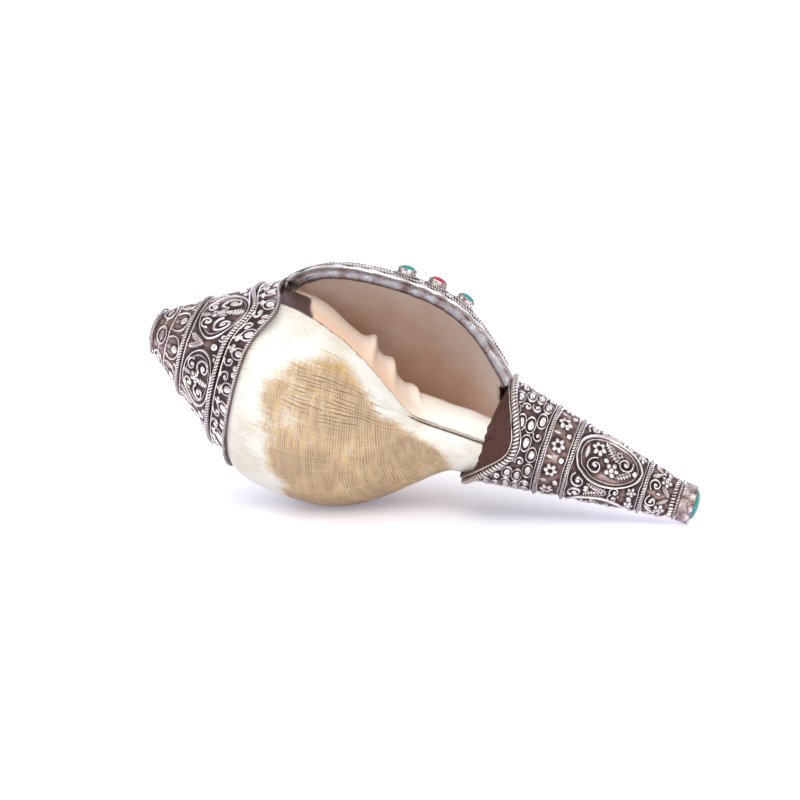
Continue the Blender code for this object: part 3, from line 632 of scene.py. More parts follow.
def rosette(a, b, radius, petals, height, pierced):
    """Flower with a bead or a hole at its heart."""
    reach, around = np.hypot(a, b), np.arctan2(b, a)
    lobe = np.abs(np.cos(0.5 * petals * around))
    edge = radius * (0.72 + 0.28 * lobe)
    ring = np.clip(1.0 - np.abs(reach - 0.55 * edge) / (0.45 * edge), 0.0, 1.0) ** 0.6 * (0.55 + 0.45 * lobe)
    heart = dome(a, b, HEART * radius, HEART * radius, 1.0)
    return height * (np.where(reach < edge, ring, 0.0) + (-0.6 if pierced else 0.95) * heart)


def beads(off, along, half, height, pitch):
    return dome(off, (along / pitch - np.round(along / pitch)) * pitch, half, 0.48 * pitch, height)


class Band:
    """Strip of a turned sheet between two stations, cut into equal tiles round the axis."""

    def __init__(self, x, theta, radius, start, end, tiles, phase=0.0):
        self.inside = ((x > start) & (x < end)).astype(float)
        count = theta * tiles / TAU + phase
        self.number = np.floor(count)
        self.width = TAU * radius / tiles
        self.length = end - start
        self.a = x - 0.5 * (start + end)
        self.b = (count - self.number - 0.5) * self.width
        self.sign = np.where(self.number % 2.0 > 0.5, 1.0, -1.0)

    def at(self, along, across, turn=0.0, flip=False):
        """Coordinates about a place in the tile, by shares of its half length and half width."""
        b = self.b * self.sign if flip else self.b
        return turned_by(self.a - along * 0.5 * self.length, b - across * 0.5 * self.width, turn)

    def edge(self):
        """Fade at the borders of the strip."""
        return self.inside * np.clip((0.5 * self.length - np.abs(self.a)) / 0.5, 0.0, 1.0)


def highest(*heights):
    top = heights[0]
    for height in heights[1:]:
        top = np.maximum(top, height)
    return top


def wobble(x, theta, seed):
    """Slow unevenness of hammered work, the same at both ends of the turn."""
    rng = np.random.default_rng(seed)
    total = np.zeros_like(x * theta)
    for _ in range(WAVES):
        turns, run = rng.integers(1, 16), rng.uniform(0.05, 0.55)
        total += np.sin(turns * theta + run * x + rng.uniform(0.0, TAU)) / WAVES ** 0.5
    return total


def cap_relief(x, theta):
    """Height of the cap's ornament over its sheet."""
    radius = cap_surface(x)
    x = x - 0.8 * cap_reach(theta) * ease(0.5 * CAP_EDGE, CAP_ROPES[1], x)
    theta = theta + 0.012 * wobble(x, theta, 3)
    x = x + 0.25 * wobble(x, theta, 4)
    front = Band(x, theta, radius, *CAP_LOOPS)
    loops = [loop_line(*front.at(0.0, 0.0), 3.0, 0.33 * front.width, 0.5, 0.8),
             dome(*front.at(0.0, 0.0), 1.9, 0.2 * front.width, 0.5),
             beads(front.a, front.b - 0.5 * front.width * np.sign(front.b), 0.4, 0.6, 1.6)]
    tabs = Band(x, theta, radius, *CAP_TABS)
    tab = [loop_line(*tabs.at(-0.25, 0.0), 5.2, 0.40 * tabs.width, *FINE),
           dome(*tabs.at(0.25, 0.0), 2.3, 2.3, 1.2), dome(*tabs.at(0.75, 1.0), 1.5, 1.2, 0.7),
           leaf(*tabs.at(-0.45, 0.0), 2.4, 1.5, 0.7)]
    main = Band(x, theta, radius, *CAP_CARTOUCHES)
    cartouche = [loop_line(*main.at(0.08, 0.0), 0.43 * main.length, 0.40 * main.width, 0.55, 1.05),
                 loop_line(*main.at(0.08, 0.0), 0.36 * main.length, 0.33 * main.width, 0.30, 0.6),
                 rosette(*main.at(-0.02, 0.0), 3.6, 5, 1.25, False),
                 leaf(*main.at(0.45, 0.0), 4.2, 2.4, 1.15), leaf(*main.at(-0.52, 0.0), 3.2, 2.0, 1.05)]
    for side in (-1.0, 1.0):
        cartouche += [spiral(*main.at(0.35, 0.36 * side), 4.3, 1.6, 0.4, side, *BOLD),
                      spiral(*main.at(-0.35, 0.30 * side), 3.3, 1.5, 2.0, -side, 0.6, 1.05),
                      leaf(*main.at(-0.45, 0.92 * side, 0.5 * side), 5.2, 2.6, 1.0, 4),
                      dome(*main.at(0.6, side), 2.2, 2.0, 1.1),
                      spiral(*main.at(0.82, 0.72 * side), 2.1, 1.4, 0.0, side, 0.45, 0.9)]
    strip = Band(x, theta, radius, *CAP_STRIP)
    shells = [spiral(*strip.at(-0.28, 0.42, 0.0, True), 2.9, 1.4, 1.0, 1.0, 0.55, 1.1),
              dome(*strip.at(0.45, -0.25, 0.3, True), 2.7, 2.0, 1.3),
              loop_line(*strip.at(0.40, -0.25, 0.3, True), 3.8, 3.1, *FINE),
              rosette(*strip.at(-0.45, -0.55, 0.0, True), 2.7, 4, 1.0, False),
              dome(*strip.at(0.62, 0.8, 0.0, True), 1.9, 1.5, 0.9)]
    return highest(front.edge() * highest(*loops), tabs.edge() * highest(*tab),
                   main.edge() * highest(*cartouche), strip.edge() * highest(*shells),
                   *(1.05 * bell(x, station, 0.6) for station in CAP_LINES),
                   *(beads(x - station, radius * theta, 0.55, 0.75, 1.3) for station in CAP_BEADS))


def tail_relief(x, theta):
    """Height of the tail's ornament over its sheet."""
    radius = tail_surface(x)
    rim = tail_rim(theta)
    theta = theta + 0.015 * wobble(x, theta, 7)
    x = x + 0.2 * wobble(x, theta, 8)
    height = np.zeros_like(x)
    for number, station in enumerate(TAIL_ROWS):
        row = Band(x, theta, radius, station - TAIL_ROW_HALF, station + TAIL_ROW_HALF, 18 - number // 2,
                   0.5 * (number % 2))
        cell = highest(dome(*row.at(0.05, 0.0), 1.9, 0.30 * row.width, 1.25),
                       loop_line(*row.at(0.0, 0.0), 2.5, 0.43 * row.width, 0.4, 0.85))
        curl = spiral(*row.at(0.0, 0.0, 0.0, True), 2.6, 1.5, 0.6, 1.0, 0.5, 1.05)
        height = highest(height, row.inside * np.where((row.number + number) % 3 < 1, curl, cell))
    height = height * ease(1.0, 3.0, x - rim - RIM_ROPE_BACK - 1.0) * (x < TAIL_ROPES[0] - 2.2)
    flowers = Band(x, theta, radius, *TAIL_FLOWERS)
    flower = [rosette(*flowers.at(-0.12, 0.0), 3.9, 6, 1.1, True)]
    main = Band(x, theta, radius, *TAIL_CARTOUCHES)
    cartouche = [loop_line(*main.at(-0.02, 0.0), 0.48 * main.length, 0.38 * main.width, 0.75, 1.2),
                 loop_line(*main.at(-0.02, 0.0), 0.42 * main.length, 0.325 * main.width, 0.3, 0.6),
                 rosette(*main.at(-0.42, -0.22), 4.1, 6, 1.2, True),
                 rosette(*main.at(0.1, 0.22), 4.2, 5, 1.25, False),
                 rosette(*main.at(0.18, -0.32), 2.2, 5, 0.9, True),
                 spiral(*main.at(-0.38, 0.28), 4.4, 1.7, 0.5, 1.0, *BOLD),
                 spiral(*main.at(0.42, -0.12), 4.2, 1.7, 2.5, -1.0, *BOLD),
                 leaf(*main.at(-0.02, -0.3, 0.7), 6.0, 2.9, 1.2, 4),
                 leaf(*main.at(0.45, 0.26, -0.6), 4.8, 2.2, 1.1),
                 leaf(*main.at(-0.7, 0.0, 1.5), 3.0, 1.5, 0.9),
                 dome(*main.at(-0.12, 0.02), 1.5, 1.5, 1.1), dome(*main.at(0.74, 0.06), 1.5, 1.9, 1.0)]
    for side in (-1.0, 1.0):
        flower += [dome(*flowers.at(0.6, 0.95 * side), 1.5, 1.3, 0.8),
                   leaf(*flowers.at(-0.6, side), 1.8, 1.2, 0.7, 2)]
        cartouche += [spiral(*main.at(-0.72, 0.80 * side), 3.9, 1.6, 0.5, side, *PLAIN),
                      leaf(*main.at(-0.15, 0.90 * side, 0.35 * side), 6.2, 2.7, 1.1, 4),
                      spiral(*main.at(0.35, 0.86 * side), 3.5, 1.6, 2.0, -side, *PLAIN),
                      rosette(*main.at(0.82, 0.70 * side), 3.0, 5, 1.1, False),
                      dome(*main.at(0.8, 0.98 * side), 1.5, 1.4, 0.9),
                      dome(*main.at(-0.45, 0.95 * side), 1.6, 1.3, 0.9)]
    field = Band(x, theta, radius, *TAIL_FIELD)
    spray = [spiral(*field.at(-0.35, -0.3, 0.0, True), 3.3, 1.6, 0.5, 1.0, *PLAIN),
             rosette(*field.at(0.35, 0.38, 0.0, True), 3.4, 5, 1.2, False),
             leaf(*field.at(-0.45, 0.55, 0.8, True), 3.4, 1.7, 1.0),
             leaf(*field.at(0.5, -0.5, -0.7, True), 3.4, 1.7, 1.0), dome(*field.at(0.0, 0.98), 1.3, 1.2, 0.9)]
    end = TAIL_ROPES[-1]
    hatch = (0.55 + 0.45 * np.sin(TAU * (radius * theta + 0.8 * x) / 1.7)) * ease(end - 3.4, end - 3.0, x)
    return highest(height, flowers.edge() * highest(*flower), main.edge() * highest(*cartouche),
                   field.edge() * highest(*spray), 0.7 * hatch * (x < end - 0.9),
                   0.8 * bell(x - rim, 0.5, 0.5), 0.7 * bell(x - rim, 4.9, 0.5),
                   *(0.7 * bell(x, station, 0.45) for station in TAIL_LINES))


def blurred(field, rows, columns):
    """Mean over a window of a field that is closed along its second axis."""
    for axis, half, mode in ((0, rows, "edge"), (1, columns, "wrap")):
        pad = [(half, half) if axis == i else (0, 0) for i in (0, 1)]
        total = np.cumsum(np.pad(field, pad, mode=mode), axis=axis)
        length = field.shape[axis]
        high = np.take(total, range(2 * half, length + 2 * half), axis=axis)
        low = np.take(total, range(0, length), axis=axis)
        field = (high - low) / (2 * half)
    return field


def build_relief(name, grid, edges, surface, height_at, relief, finish, node):
    """Embossed sheet round an axis, with its edges turned in and its hollows marked."""
    rows, sides = grid
    theta = np.broadcast_to(full_turn(sides), grid)
    start, end = edges(theta)
    x = start + (end - start) * np.linspace(0.0, 1.0, rows)[:, None]
    high = RELIEF * relief(x, theta) + 0.06 * wobble(x, theta, 11)
    soft = blurred(high, 1, 1)
    near = blurred(blurred(soft, *WINDOW), *WINDOW)
    rim = ((1, 1), (0, 0))
    x, theta = np.pad(x, rim, mode="edge"), np.pad(theta, rim, mode="edge")
    radius = surface(x) - SINK + np.pad(soft, rim, constant_values=-EDGE_TURN)
    points = axis_points(x, radius, theta, height_at(x))
    sheet = make_mesh(name, points, grid_faces(*x.shape, closed=True), finish)
    store(sheet.data, "hollow", np.pad(near - soft, rim, constant_values=0.5))
    keep(sheet, node)


def cap_edges(theta):
    return CAP_START, CAP_EDGE + cap_reach(theta)


def tail_edges(theta):
    return tail_rim(theta), TAIL_END


def build_reliefs(finish):
    build_relief("cap_relief", ((380, 1280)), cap_edges, cap_surface, cap_height,
                 cap_relief, finish, "spire_cap")
    build_relief("tail_relief", ((620, 860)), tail_edges, tail_surface, tail_height,
                 tail_relief, finish, "tail_sleeve")


def lip_place(x, back, height):
    """Points over the shell by their distance behind the edge of the lip and their height."""
    x, back, height = np.broadcast_arrays(np.asarray(x, float), back, height)
    turned = back / shell_radius(x, 0.0)

    def spot(x, turned):
        return on_axis(x, shell_radius(x, turned), LIP_ANGLE - turned)

    across = spot(x + LIP_STEP, turned) - spot(x - LIP_STEP, turned)
    around = spot(x, turned - LIP_TURN) - spot(x, turned + LIP_TURN)
    normal = np.cross(across, around)
    normal /= np.linalg.norm(normal, axis=-1, keepdims=True)
    theta = LIP_ANGLE - turned
    normal *= np.sign(normal[..., 1] * np.cos(theta) + normal[..., 2] * np.sin(theta))[..., None]
    return spot(x, turned) + normal * height[..., None]


def along_lip(start, end, count):
    """Stations at equal distances along the edge of the lip, and the distance of each."""
    xs = np.linspace(start, end, LIP_SAMPLES)
    run = np.linalg.norm(np.diff(lip_place(xs, 0.0, 0.0), axis=0), axis=1)
    run = np.concatenate([[0.0], np.cumsum(run)])
    even = np.linspace(0.0, run[-1], count)
    return np.interp(even, run, xs), even


def rope(node, centre, outward, wire, pitch, closed, finish):
    """Two strands twisted together along a path, outward being away from the sheet."""
    if closed:
        ahead = np.roll(centre, -1, axis=0) - np.roll(centre, 1, axis=0)
        steps = np.linalg.norm(np.roll(centre, -1, axis=0) - centre, axis=1)
    else:
        ahead = np.gradient(centre, axis=0)
        steps = np.linalg.norm(np.diff(centre, axis=0, append=centre[-1:]), axis=1)
    side = np.cross(ahead, outward)
    side /= np.linalg.norm(side, axis=1, keepdims=True)
    up = np.cross(side, ahead)
    up /= np.linalg.norm(up, axis=1, keepdims=True)
    run = np.concatenate([[0.0], np.cumsum(steps)[:-1]])
    twist = math.pi * round(steps.sum() / pitch) * run / steps.sum()
    phi = full_turn(ROPE_SIDES)[None, :]
    swell = np.abs(np.cos(phi - twist[:, None]))
    reach = wire * (1.0 - ROPE_DEPTH + ROPE_DEPTH * swell ** 0.8)[..., None]
    points = centre[:, None] + reach * (np.cos(phi)[..., None] * up[:, None]
                                        + np.sin(phi)[..., None] * side[:, None])
    faces = grid_faces(len(centre), ROPE_SIDES, closed=True)
    if closed:
        first = np.arange(ROPE_SIDES)
        last = first + (len(centre) - 1) * ROPE_SIDES
        seam = np.stack([last, np.roll(last, -1), np.roll(first, -1), first], axis=-1)
        faces = np.concatenate([faces, seam])
    made = make_mesh("fine_" + node, points, faces, finish)
    face_outward(made.data)
    store(made.data, "hollow", 0.75 * (0.52 - swell.ravel()))
    keep(made, node)


def ring_path(theta, x, surface, height_at, taper, wire):
    """Centre line of a wire that lies on a turned sheet, and the way out from the axis."""
    slope = math.atan(taper)
    radius = surface(x) + wire * math.cos(slope)
    outward = axis_points(np.zeros_like(theta), 1.0, theta, 0.0)
    return axis_points(x - wire * math.sin(slope), radius, theta, height_at(x)), outward


def build_ropes(finish):
    share = 1.0
    for wires, surface, height_at, taper, edge in (
            (CAP_WIRES, cap_surface, cap_height, CAP_FLARE, cap_reach),
            (TAIL_WIRES, tail_surface, tail_height, -TAIL_TAPER, tail_rim)):
        for node, station, wire, pitch, count, follow in wires:
            theta = full_turn(round(count * share))
            path = ring_path(theta, station + follow * edge(theta), surface, height_at, taper, wire)
            rope(node, *path, wire, pitch, True, finish)


def band_relief(back, run):
    """Vine of leaves and curls along the lip's band."""
    number = np.floor(run / VINE_SPAN)
    b = run - (number + 0.5) * VINE_SPAN
    a = (back - BEZEL_BACK) * np.where(number % 2 > 0.5, 1.0, -1.0)
    stem = np.abs(a - VINE_SWING * np.sin(math.pi * b / VINE_SPAN))
    vine = highest(0.8 * np.exp(-(stem / 0.6) ** 2),
                   spiral(a + 2.4, b - 3.0, 3.1, 1.5, 0.5, 1.0, 0.5, 1.0),
                   leaf(*turned_by(a - 3.4, b + 3.2, 0.9), 4.2, 1.9, 1.0),
                   leaf(*turned_by(a + 3.6, b + 3.6, -0.8), 3.4, 1.5, 0.9),
                   dome(a - 4.3, b - 4.5, 1.6, 1.6, 0.9), dome(a - 3.8, b - 0.6, 1.3, 1.3, 0.8))
    vine = vine * window(back, BAND_FROM + 1.0, BAND_FROM + 2.0, BAND_END - 2.0, BAND_END - 1.0)
    return highest(vine, 0.6 * bell(back, BAND_FROM + 1.7, 0.35), 0.6 * bell(back, BAND_END - 1.8, 0.35))


def build_band(finish):
    """Embossed strip on the outside of the lip and the twisted wires along it."""
    across, along = ((74, 820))
    xs, run = along_lip(MOUNT_START, SHELL_END, along)
    back, x = np.meshgrid(np.linspace(BAND_FROM, BAND_END, across), xs)
    high = band_relief(back, run[:, None] + 0.0 * back)
    lift = BAND_BASE + SHEET - 0.3 + high
    lift[:, 0] = lift[:, -1] = BAND_BASE
    lift[0, :] = lift[-1, :] = BAND_BASE
    band = make_mesh("band_relief", lip_place(x, back, lift), grid_faces(along, across), finish)
    store(band.data, "hollow", blurred(high, 5, 5) - high)
    keep(band, "lip_band")
    for node, station, wire in LIP_WIRES:
        xs, run = along_lip(MOUNT_START, MOUNT_END, 1200)
        centre = lip_place(xs, station, BAND_BASE + SHEET + wire - 0.1)
        rope(node, centre, centre - lip_place(xs, station, 0.0), wire, LIP_WIRE_PITCH, False, finish)


def build_binding(finish):
    """Folded strip over the edge of the lip, crumpled and notched where it was beaten down."""
    xs, run = along_lip(MOUNT_START - 1.0, SHELL_END + 4.0, 900)
    rng = np.random.default_rng(5)
    waves = [(rng.uniform(0.04, 0.8), rng.uniform(0.0, TAU)) for _ in range(16)]

    def uneven(shift):
        total = sum(np.sin(rate * run + start + shift * (1.0 + rate)) / (1.0 + rate) for rate, start in waves)
        return total * 0.13

    leg = INNER_LEG[0] + (INNER_LEG[1] - INNER_LEG[0]) * ease(*BINDING_WIDENS, xs) + 0.8 * uneven(0.0)
    notches = sum(bell(run, at * run[-1], 0.4) for at in BINDING_NOTCHES)
    leg = leg - 0.9 * notches + 4.0 * bell(xs, *BINDING_CURL)
    leg = leg * ease(MOUNT_START - 2.0, MOUNT_START + 4.0, xs)
    outer, under = GAP + SHEET, -WALL - 0.6 - SHEET
    # Share of the leg, distance behind the lip, its sway and shift, height, its sway and shift, tone (below
    # zero a painted highlight)
    profile = ((0.0, 2.0, 0.0, 0.0, GAP + 0.3, 0.0, 0.0, 0.3),
               (0.0, 2.0, 0.3, 1.0, outer, 0.4, 2.0, 0.1),
               (0.0, 0.6, 0.0, 0.0, outer + 0.25, 0.7, 3.0, -0.4),
               (0.0, -0.8, 0.5, 4.0, outer - 0.1, 0.0, 0.0, -0.4),
               (0.0, -1.1, 0.6, 5.0, -0.6, 0.0, 0.0, 0.14),
               (0.0, -1.15, 0.8, 6.0, -2.4, 0.5, 7.0, -0.05),
               (0.0, -1.1, 0.6, 8.0, -4.2, 0.0, 0.0, 0.0),
               (0.0, -0.6, 0.4, 9.0, under + 0.2, 0.0, 0.0, 0.2),
               (0.25, 0.0, 0.0, 0.0, under, 0.7, 1.5, -0.05),
               (0.6, 0.0, 0.0, 0.0, under, 0.7, 2.5, -0.12),
               (1.0, 0.0, 0.0, 0.0, under + SHEET - 0.45, 0.5, 3.5, -0.45),
               (1.0, 0.1, 0.0, 0.0, under + SHEET + 0.1, 0.0, 0.0, 0.4))
    rows = [lip_place(xs, share * leg + back + sway * uneven(shift), height + lift_sway * uneven(lift_shift))
            for share, back, sway, shift, height, lift_sway, lift_shift, _ in profile]
    strip = make_mesh("binding_strip", np.stack(rows, axis=1), grid_faces(len(xs), len(profile)), finish)
    # Row tone paints highlights on the top of the fold and near the end of the inner leg, and is darker along
    # its edges and bends; it reaches the silver as the hollow mark
    row_tone = np.array([row[-1] for row in profile])
    notched = np.linspace(-0.5, 0.6, len(profile)).clip(0.0, None)
    store(strip.data, "hollow", row_tone + notched * notches[:, None] + 0.24 * uneven(6.0)[:, None])
    keep(strip, "lip_binding")


def build_fillet(finish):
    """Lac between the broken end of the shell and the mouth of the sleeve."""
    turns = np.linspace(0.0, TAU, 360)[:, None]
    share = np.linspace(0.0, 1.0, 12)[None, :]
    theta = LIP_ANGLE - turns
    rim = tail_rim(theta) + 1.2
    start = broken_end(turns) - 0.8
    low = shell_radius(start, turns) - 0.5
    high = tail_surface(rim) - SHEET - 0.1
    middle = axis_height(start) + (tail_height(rim) - axis_height(start)) * share
    x = start + (rim - start) * share + 0.25 * wobble(9.0 * share, theta, 21)
    points = axis_points(x, low + (high - low) * share ** 0.8, theta, middle)
    piece = make_mesh("lac_fillet", points, grid_faces(*x.shape), finish)
    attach(piece, "root")


def build_collars(finish):
    """Twisted wire round the foot of each cup on the lip."""
    base = 2.0 * GAP + 0.2 + SHEET
    for number, x in enumerate(BEZEL_PLACES, 1):
        spot = lip_place(x, BEZEL_BACK, base)
        up = lip_place(x, BEZEL_BACK, base + 2.0) - spot
        up /= np.linalg.norm(up)
        side = np.cross(up, (1.0, 0.0, 0.0))
        side /= np.linalg.norm(side)
        phi = full_turn(220)[:, None]
        outward = np.cos(phi) * side + np.sin(phi) * np.cross(side, up)
        centre = spot + 0.6 * up + COLLAR_RADIUS * outward
        rope(f"bezel_rope_{number}", centre, outward, COLLAR_WIRE, COLLAR_PITCH, True, finish)


class Nodes:
    """Short ways to add and join shader nodes."""

    def __init__(self, name):
        self.material = bpy.data.materials.new(name)
        self.material.use_nodes = True
        self.tree = self.material.node_tree
        self.shader = self.tree.nodes["Principled BSDF"]

    def link(self, value, socket):
        if isinstance(value, bpy.types.NodeSocket):
            self.tree.links.new(value, socket)
        else:
            socket.default_value = value

    def math(self, operation, a, b=0.0, c=0.0):
        node = self.tree.nodes.new("ShaderNodeMath")
        node.operation = operation
        for value, socket in zip((a, b, c), node.inputs):
            self.link(value, socket)
        return node.outputs[0]

    def plus(self, a, b):
        return self.math("ADD", a, b)

    def minus(self, a, b):
        return self.math("SUBTRACT", a, b)

    def times(self, a, b):
        return self.math("MULTIPLY", a, b)

    def times_plus(self, a, b, c):
        return self.math("MULTIPLY_ADD", a, b, c)

    def off(self, value, middle=0.5):
        """How far a value is from its middle."""
        return self.minus(value, middle)

    def attribute(self, name, output="Fac"):
        node = self.tree.nodes.new("ShaderNodeAttribute")
        node.attribute_name = name
        return node.outputs[output]

    def place(self, marked):
        """Millimetres, from the mesh's own marks or from the node's own space."""
        if marked:
            return self.attribute("place", "Vector")
        scale = self.tree.nodes.new("ShaderNodeVectorMath")
        scale.operation = "SCALE"
        self.link(self.tree.nodes.new("ShaderNodeTexCoord").outputs["Object"], scale.inputs[0])
        scale.inputs["Scale"].default_value = 1.0 / MM
        return scale.outputs[0]

    def noise(self, vector, scale, detail=4.0, rough=0.55):
        node = self.tree.nodes.new("ShaderNodeTexNoise")
        self.link(vector, node.inputs["Vector"])
        for name, value in (("Scale", scale), ("Detail", detail), ("Roughness", rough)):
            node.inputs[name].default_value = value
        return node.outputs[0]

    def streaks(self, a, a_pace, b, b_pace, seed, detail, rough=0.55):
        """Noise drawn out by its pace along each of two coordinates."""
        node = self.tree.nodes.new("ShaderNodeCombineXYZ")
        for value, socket in zip((self.times(a, a_pace), self.times(b, b_pace), seed), node.inputs):
            self.link(value, socket)
        return self.noise(node.outputs[0], 1.0, detail, rough)

    def range(self, value, low, high, to_low=0.0, to_high=1.0):
        node = self.tree.nodes.new("ShaderNodeMapRange")
        node.interpolation_type = "SMOOTHSTEP"
        for source, socket in zip((value, low, high, to_low, to_high), node.inputs):
            self.link(source, socket)
        return node.outputs[0]

    def mix(self, share, a, b):
        node = self.tree.nodes.new("ShaderNodeMix")
        node.data_type = "RGBA"
        self.link(share, node.inputs[0])
        for value, socket in ((a, node.inputs[6]), (b, node.inputs[7])):
            self.link((*value, 1.0) if isinstance(value, tuple) else value, socket)
        return node.outputs[2]

    def bump(self, height, distance, strength):
        node = self.tree.nodes.new("ShaderNodeBump")
        node.inputs["Strength"].default_value = strength
        node.inputs["Distance"].default_value = distance * MM
        self.link(height, node.inputs["Height"])
        return node.outputs[0]

    def finish(self, colour, roughness, normal, **fixed):
        for name, value in (("Base Color", colour), ("Roughness", roughness), ("Normal", normal)):
            self.link(value, self.shader.inputs[name])
        for name, value in fixed.items():
            self.shader.inputs[name.replace("_", " ")].default_value = value
        return self.material


def shell_outside():
    """White shell with a weathered patch, fine threads, scratches and a glossy inner lip."""
    n = Nodes("shell_outside")
    place = n.place(True)
    split = n.tree.nodes.new("ShaderNodeSeparateXYZ")
    n.link(place, split.inputs[0])
    along = split.outputs[0]
    turned, glaze, lac = n.attribute("turned"), n.attribute("glaze"), n.attribute("lac")
    weathered, station = n.attribute("weathered"), n.attribute("thread")
    cloud = n.noise(place, 0.045, 4.0)
    fine = n.noise(place, 0.6, 4.0, 0.6)
    growth = n.streaks(along, 0.03, turned, 0.55, 3.0, 4.0, 0.65)
    colour = n.mix(n.range(cloud, 0.42, 0.66), CHALK, CREAM)

    bend = n.streaks(station, 0.05, turned, 0.03, 0.0, 3.0, 0.6)
    phase = n.times_plus(bend, 16.0, n.times(station, TAU / THREAD_PITCH))
    thread = n.times_plus(n.math("SINE", phase), 0.5, 0.5)
    uneven = n.streaks(station, 0.30, turned, 0.05, 5.0, 3.0, 0.6)
    thread = n.times(thread, n.range(uneven, 0.34, 0.62, 0.15, 1.0))

    ragged = n.times_plus(n.off(fine), 0.55, n.times(growth, 0.7))
    wander = n.times_plus(n.off(cloud), 1.6, n.off(ragged, 0.35))
    patch = n.range(n.plus(weathered, wander), 0.30, 0.95)
    ochre = n.mix(n.range(cloud, 0.35, 0.62), OCHRE, DULL_OCHRE)
    ochre = n.mix(n.range(weathered, 0.92, 0.55), ochre, RICH_OCHRE)
    ochre = n.mix(n.times(thread, 0.85), ochre, THREAD_BROWN)
    ochre = n.mix(n.times(n.range(growth, 0.50, 0.72), 0.35), ochre, WORN_OCHRE)
    colour = n.mix(n.times(patch, 0.9), colour, ochre)

    slow = n.streaks(along, 0.030, turned, 0.05, 7.0, 2.0)
    line = n.math("SINE", n.times_plus(turned, math.pi / SCRATCH_PITCH, n.times(slow, 14.0)))
    extent = n.streaks(along, 0.055, turned, 0.42, 2.0, 2.0)
    width = n.range(extent, 0.42, 0.62, 0.06, 0.60)
    line = n.times(n.range(n.math("ABSOLUTE", line), width, 0.0), n.range(extent, 0.42, 0.52))
    zone = n.times(n.range(turned, 266.0, 280.0), n.range(turned, 308.0, 298.0))
    zone = n.times(zone, n.times(n.range(along, 80.0, 96.0), n.range(along, 152.0, 136.0)))
    pale = n.times(n.range(cloud, 0.40, 0.58), 0.34)
    outer = n.range(glaze, 1.0, -1.0)
    scratch = n.times(n.times(line, n.math("MAXIMUM", zone, pale)), outer)
    colour = n.mix(scratch, colour, SCRATCH_BROWN)

    wavy = n.plus(glaze, n.times(n.off(fine), 3.0))
    inner = n.range(wavy, -0.4, 0.6)
    pearl = n.mix(n.range(glaze, 0.0, 16.0), *PEARL)
    pearl = n.mix(n.range(along, 128.0, 165.0), pearl, PEARL_WHITE)
    colour = n.mix(inner, colour, pearl)
    seam = n.times(n.range(n.math("ABSOLUTE", wavy), 0.9, 0.1), n.range(along, 150.0, 96.0, 0.3, 1.0))
    colour = n.mix(n.times(seam, 0.85), colour, SEAM_BROWN)
    crack = n.math("ABSOLUTE", n.times_plus(n.off(fine), 2.5, n.off(turned, CRACK_TURN)))
    colour = n.mix(n.times(n.range(crack, 1.7, 0.7), n.range(along, 145.0, 149.0)), colour, CRACK_BLACK)
    colour = n.mix(lac, colour, n.mix(fine, *SMEARED_LAC))
    colour = n.mix(n.attribute("broken"), colour, BROKEN_SHELL)

    low = n.times(n.times_plus(thread, -0.8, growth), n.plus(patch, 0.25))
    low = n.minus(low, n.times(scratch, 1.2))
    low = n.plus(n.times(low, outer), n.times(inner, 2.2))
    low = n.plus(low, n.times(lac, n.times(fine, 5.0)))
    rough = n.mix(inner, n.mix(patch, (0.34, 0.34, 0.34), (0.50, 0.50, 0.50)), (0.2, 0.2, 0.2))
    return n.finish(colour, rough, n.bump(low, 0.22, 0.8), Coat_Weight=0.15, Coat_Roughness=0.2)


def shell_inside():
    """Smooth inside of the whorl: taupe, paler on the columella and at the lip, where the roof's paleness is
    partly painted light.
    """
    n = Nodes("shell_inside")
    place = n.place(True)
    turned, onward = n.attribute("turned"), n.attribute("onward")
    cloud = n.noise(place, 0.05, 3.0)
    speck = n.noise(place, 0.75, 2.0)
    depth = n.range(n.plus(turned, n.times(n.off(cloud), 60.0)), 4.0, 92.0)
    # Paler towards the lip: partly the shell's own colour, partly painted light on the roof
    roof = n.mix(depth, *ROOF)
    roof = n.mix(n.range(turned, 300.0, 330.0), roof, ROOF_END)
    folds = n.mix(n.range(onward, 350.0, 405.0), FLOOR_CREAM, FOLD_TAN)
    folds = n.mix(n.range(onward, 300.0, 330.0), FOLD_TAN, folds)
    colour = n.mix(n.attribute("floor"), roof, folds)
    colour = n.mix(n.times(n.range(speck, 0.735, 0.76), 0.8), colour, SPECK_BROWN)
    colour = n.mix(n.attribute("broken"), colour, BROKEN_SHELL)
    return n.finish(colour, 0.24, n.bump(cloud, 0.3, 0.3), Coat_Weight=0.2, Coat_Roughness=0.15)


def silver(name, hollows, middle=OLD_SILVER):
    """Old silver: bright where hands rub it, red-brown where polish never reaches, and on the binding bright
    where a highlight is painted into its marks.
    """
    n = Nodes(name)
    place = n.place(hollows)
    grain = n.noise(place, 0.9, 5.0, 0.65)
    patch = n.noise(place, 0.07, 3.0)
    if hollows:
        deep = n.times_plus(n.off(grain), 0.35, n.attribute("hollow"))
        normal = n.bump(grain, 0.25, 0.35)
    else:
        broad = n.noise(place, 0.28, 4.0, 0.6)
        deep = n.times_plus(n.off(broad, 0.52), 1.3, n.off(grain, 0.55))
        normal = n.bump(n.plus(broad, grain), 0.9, 0.6)
    dirt = n.range(deep, -0.10, 0.24)
    colour = n.mix(n.range(patch, 0.35, 0.65), BRIGHT_SILVER, DULL_SILVER)
    colour = n.mix(n.range(deep, -0.42, -0.04), colour, middle)
    colour = n.mix(dirt, colour, TARNISH)
    colour = n.mix(n.range(deep, 0.10, 0.34), colour, DEEP_TARNISH)
    n.link(n.range(dirt, 0.55, 1.0, 1.0, 0.25), n.shader.inputs["Metallic"])
    return n.finish(colour, n.range(dirt, 0.0, 1.0, 0.17, 0.6), normal)


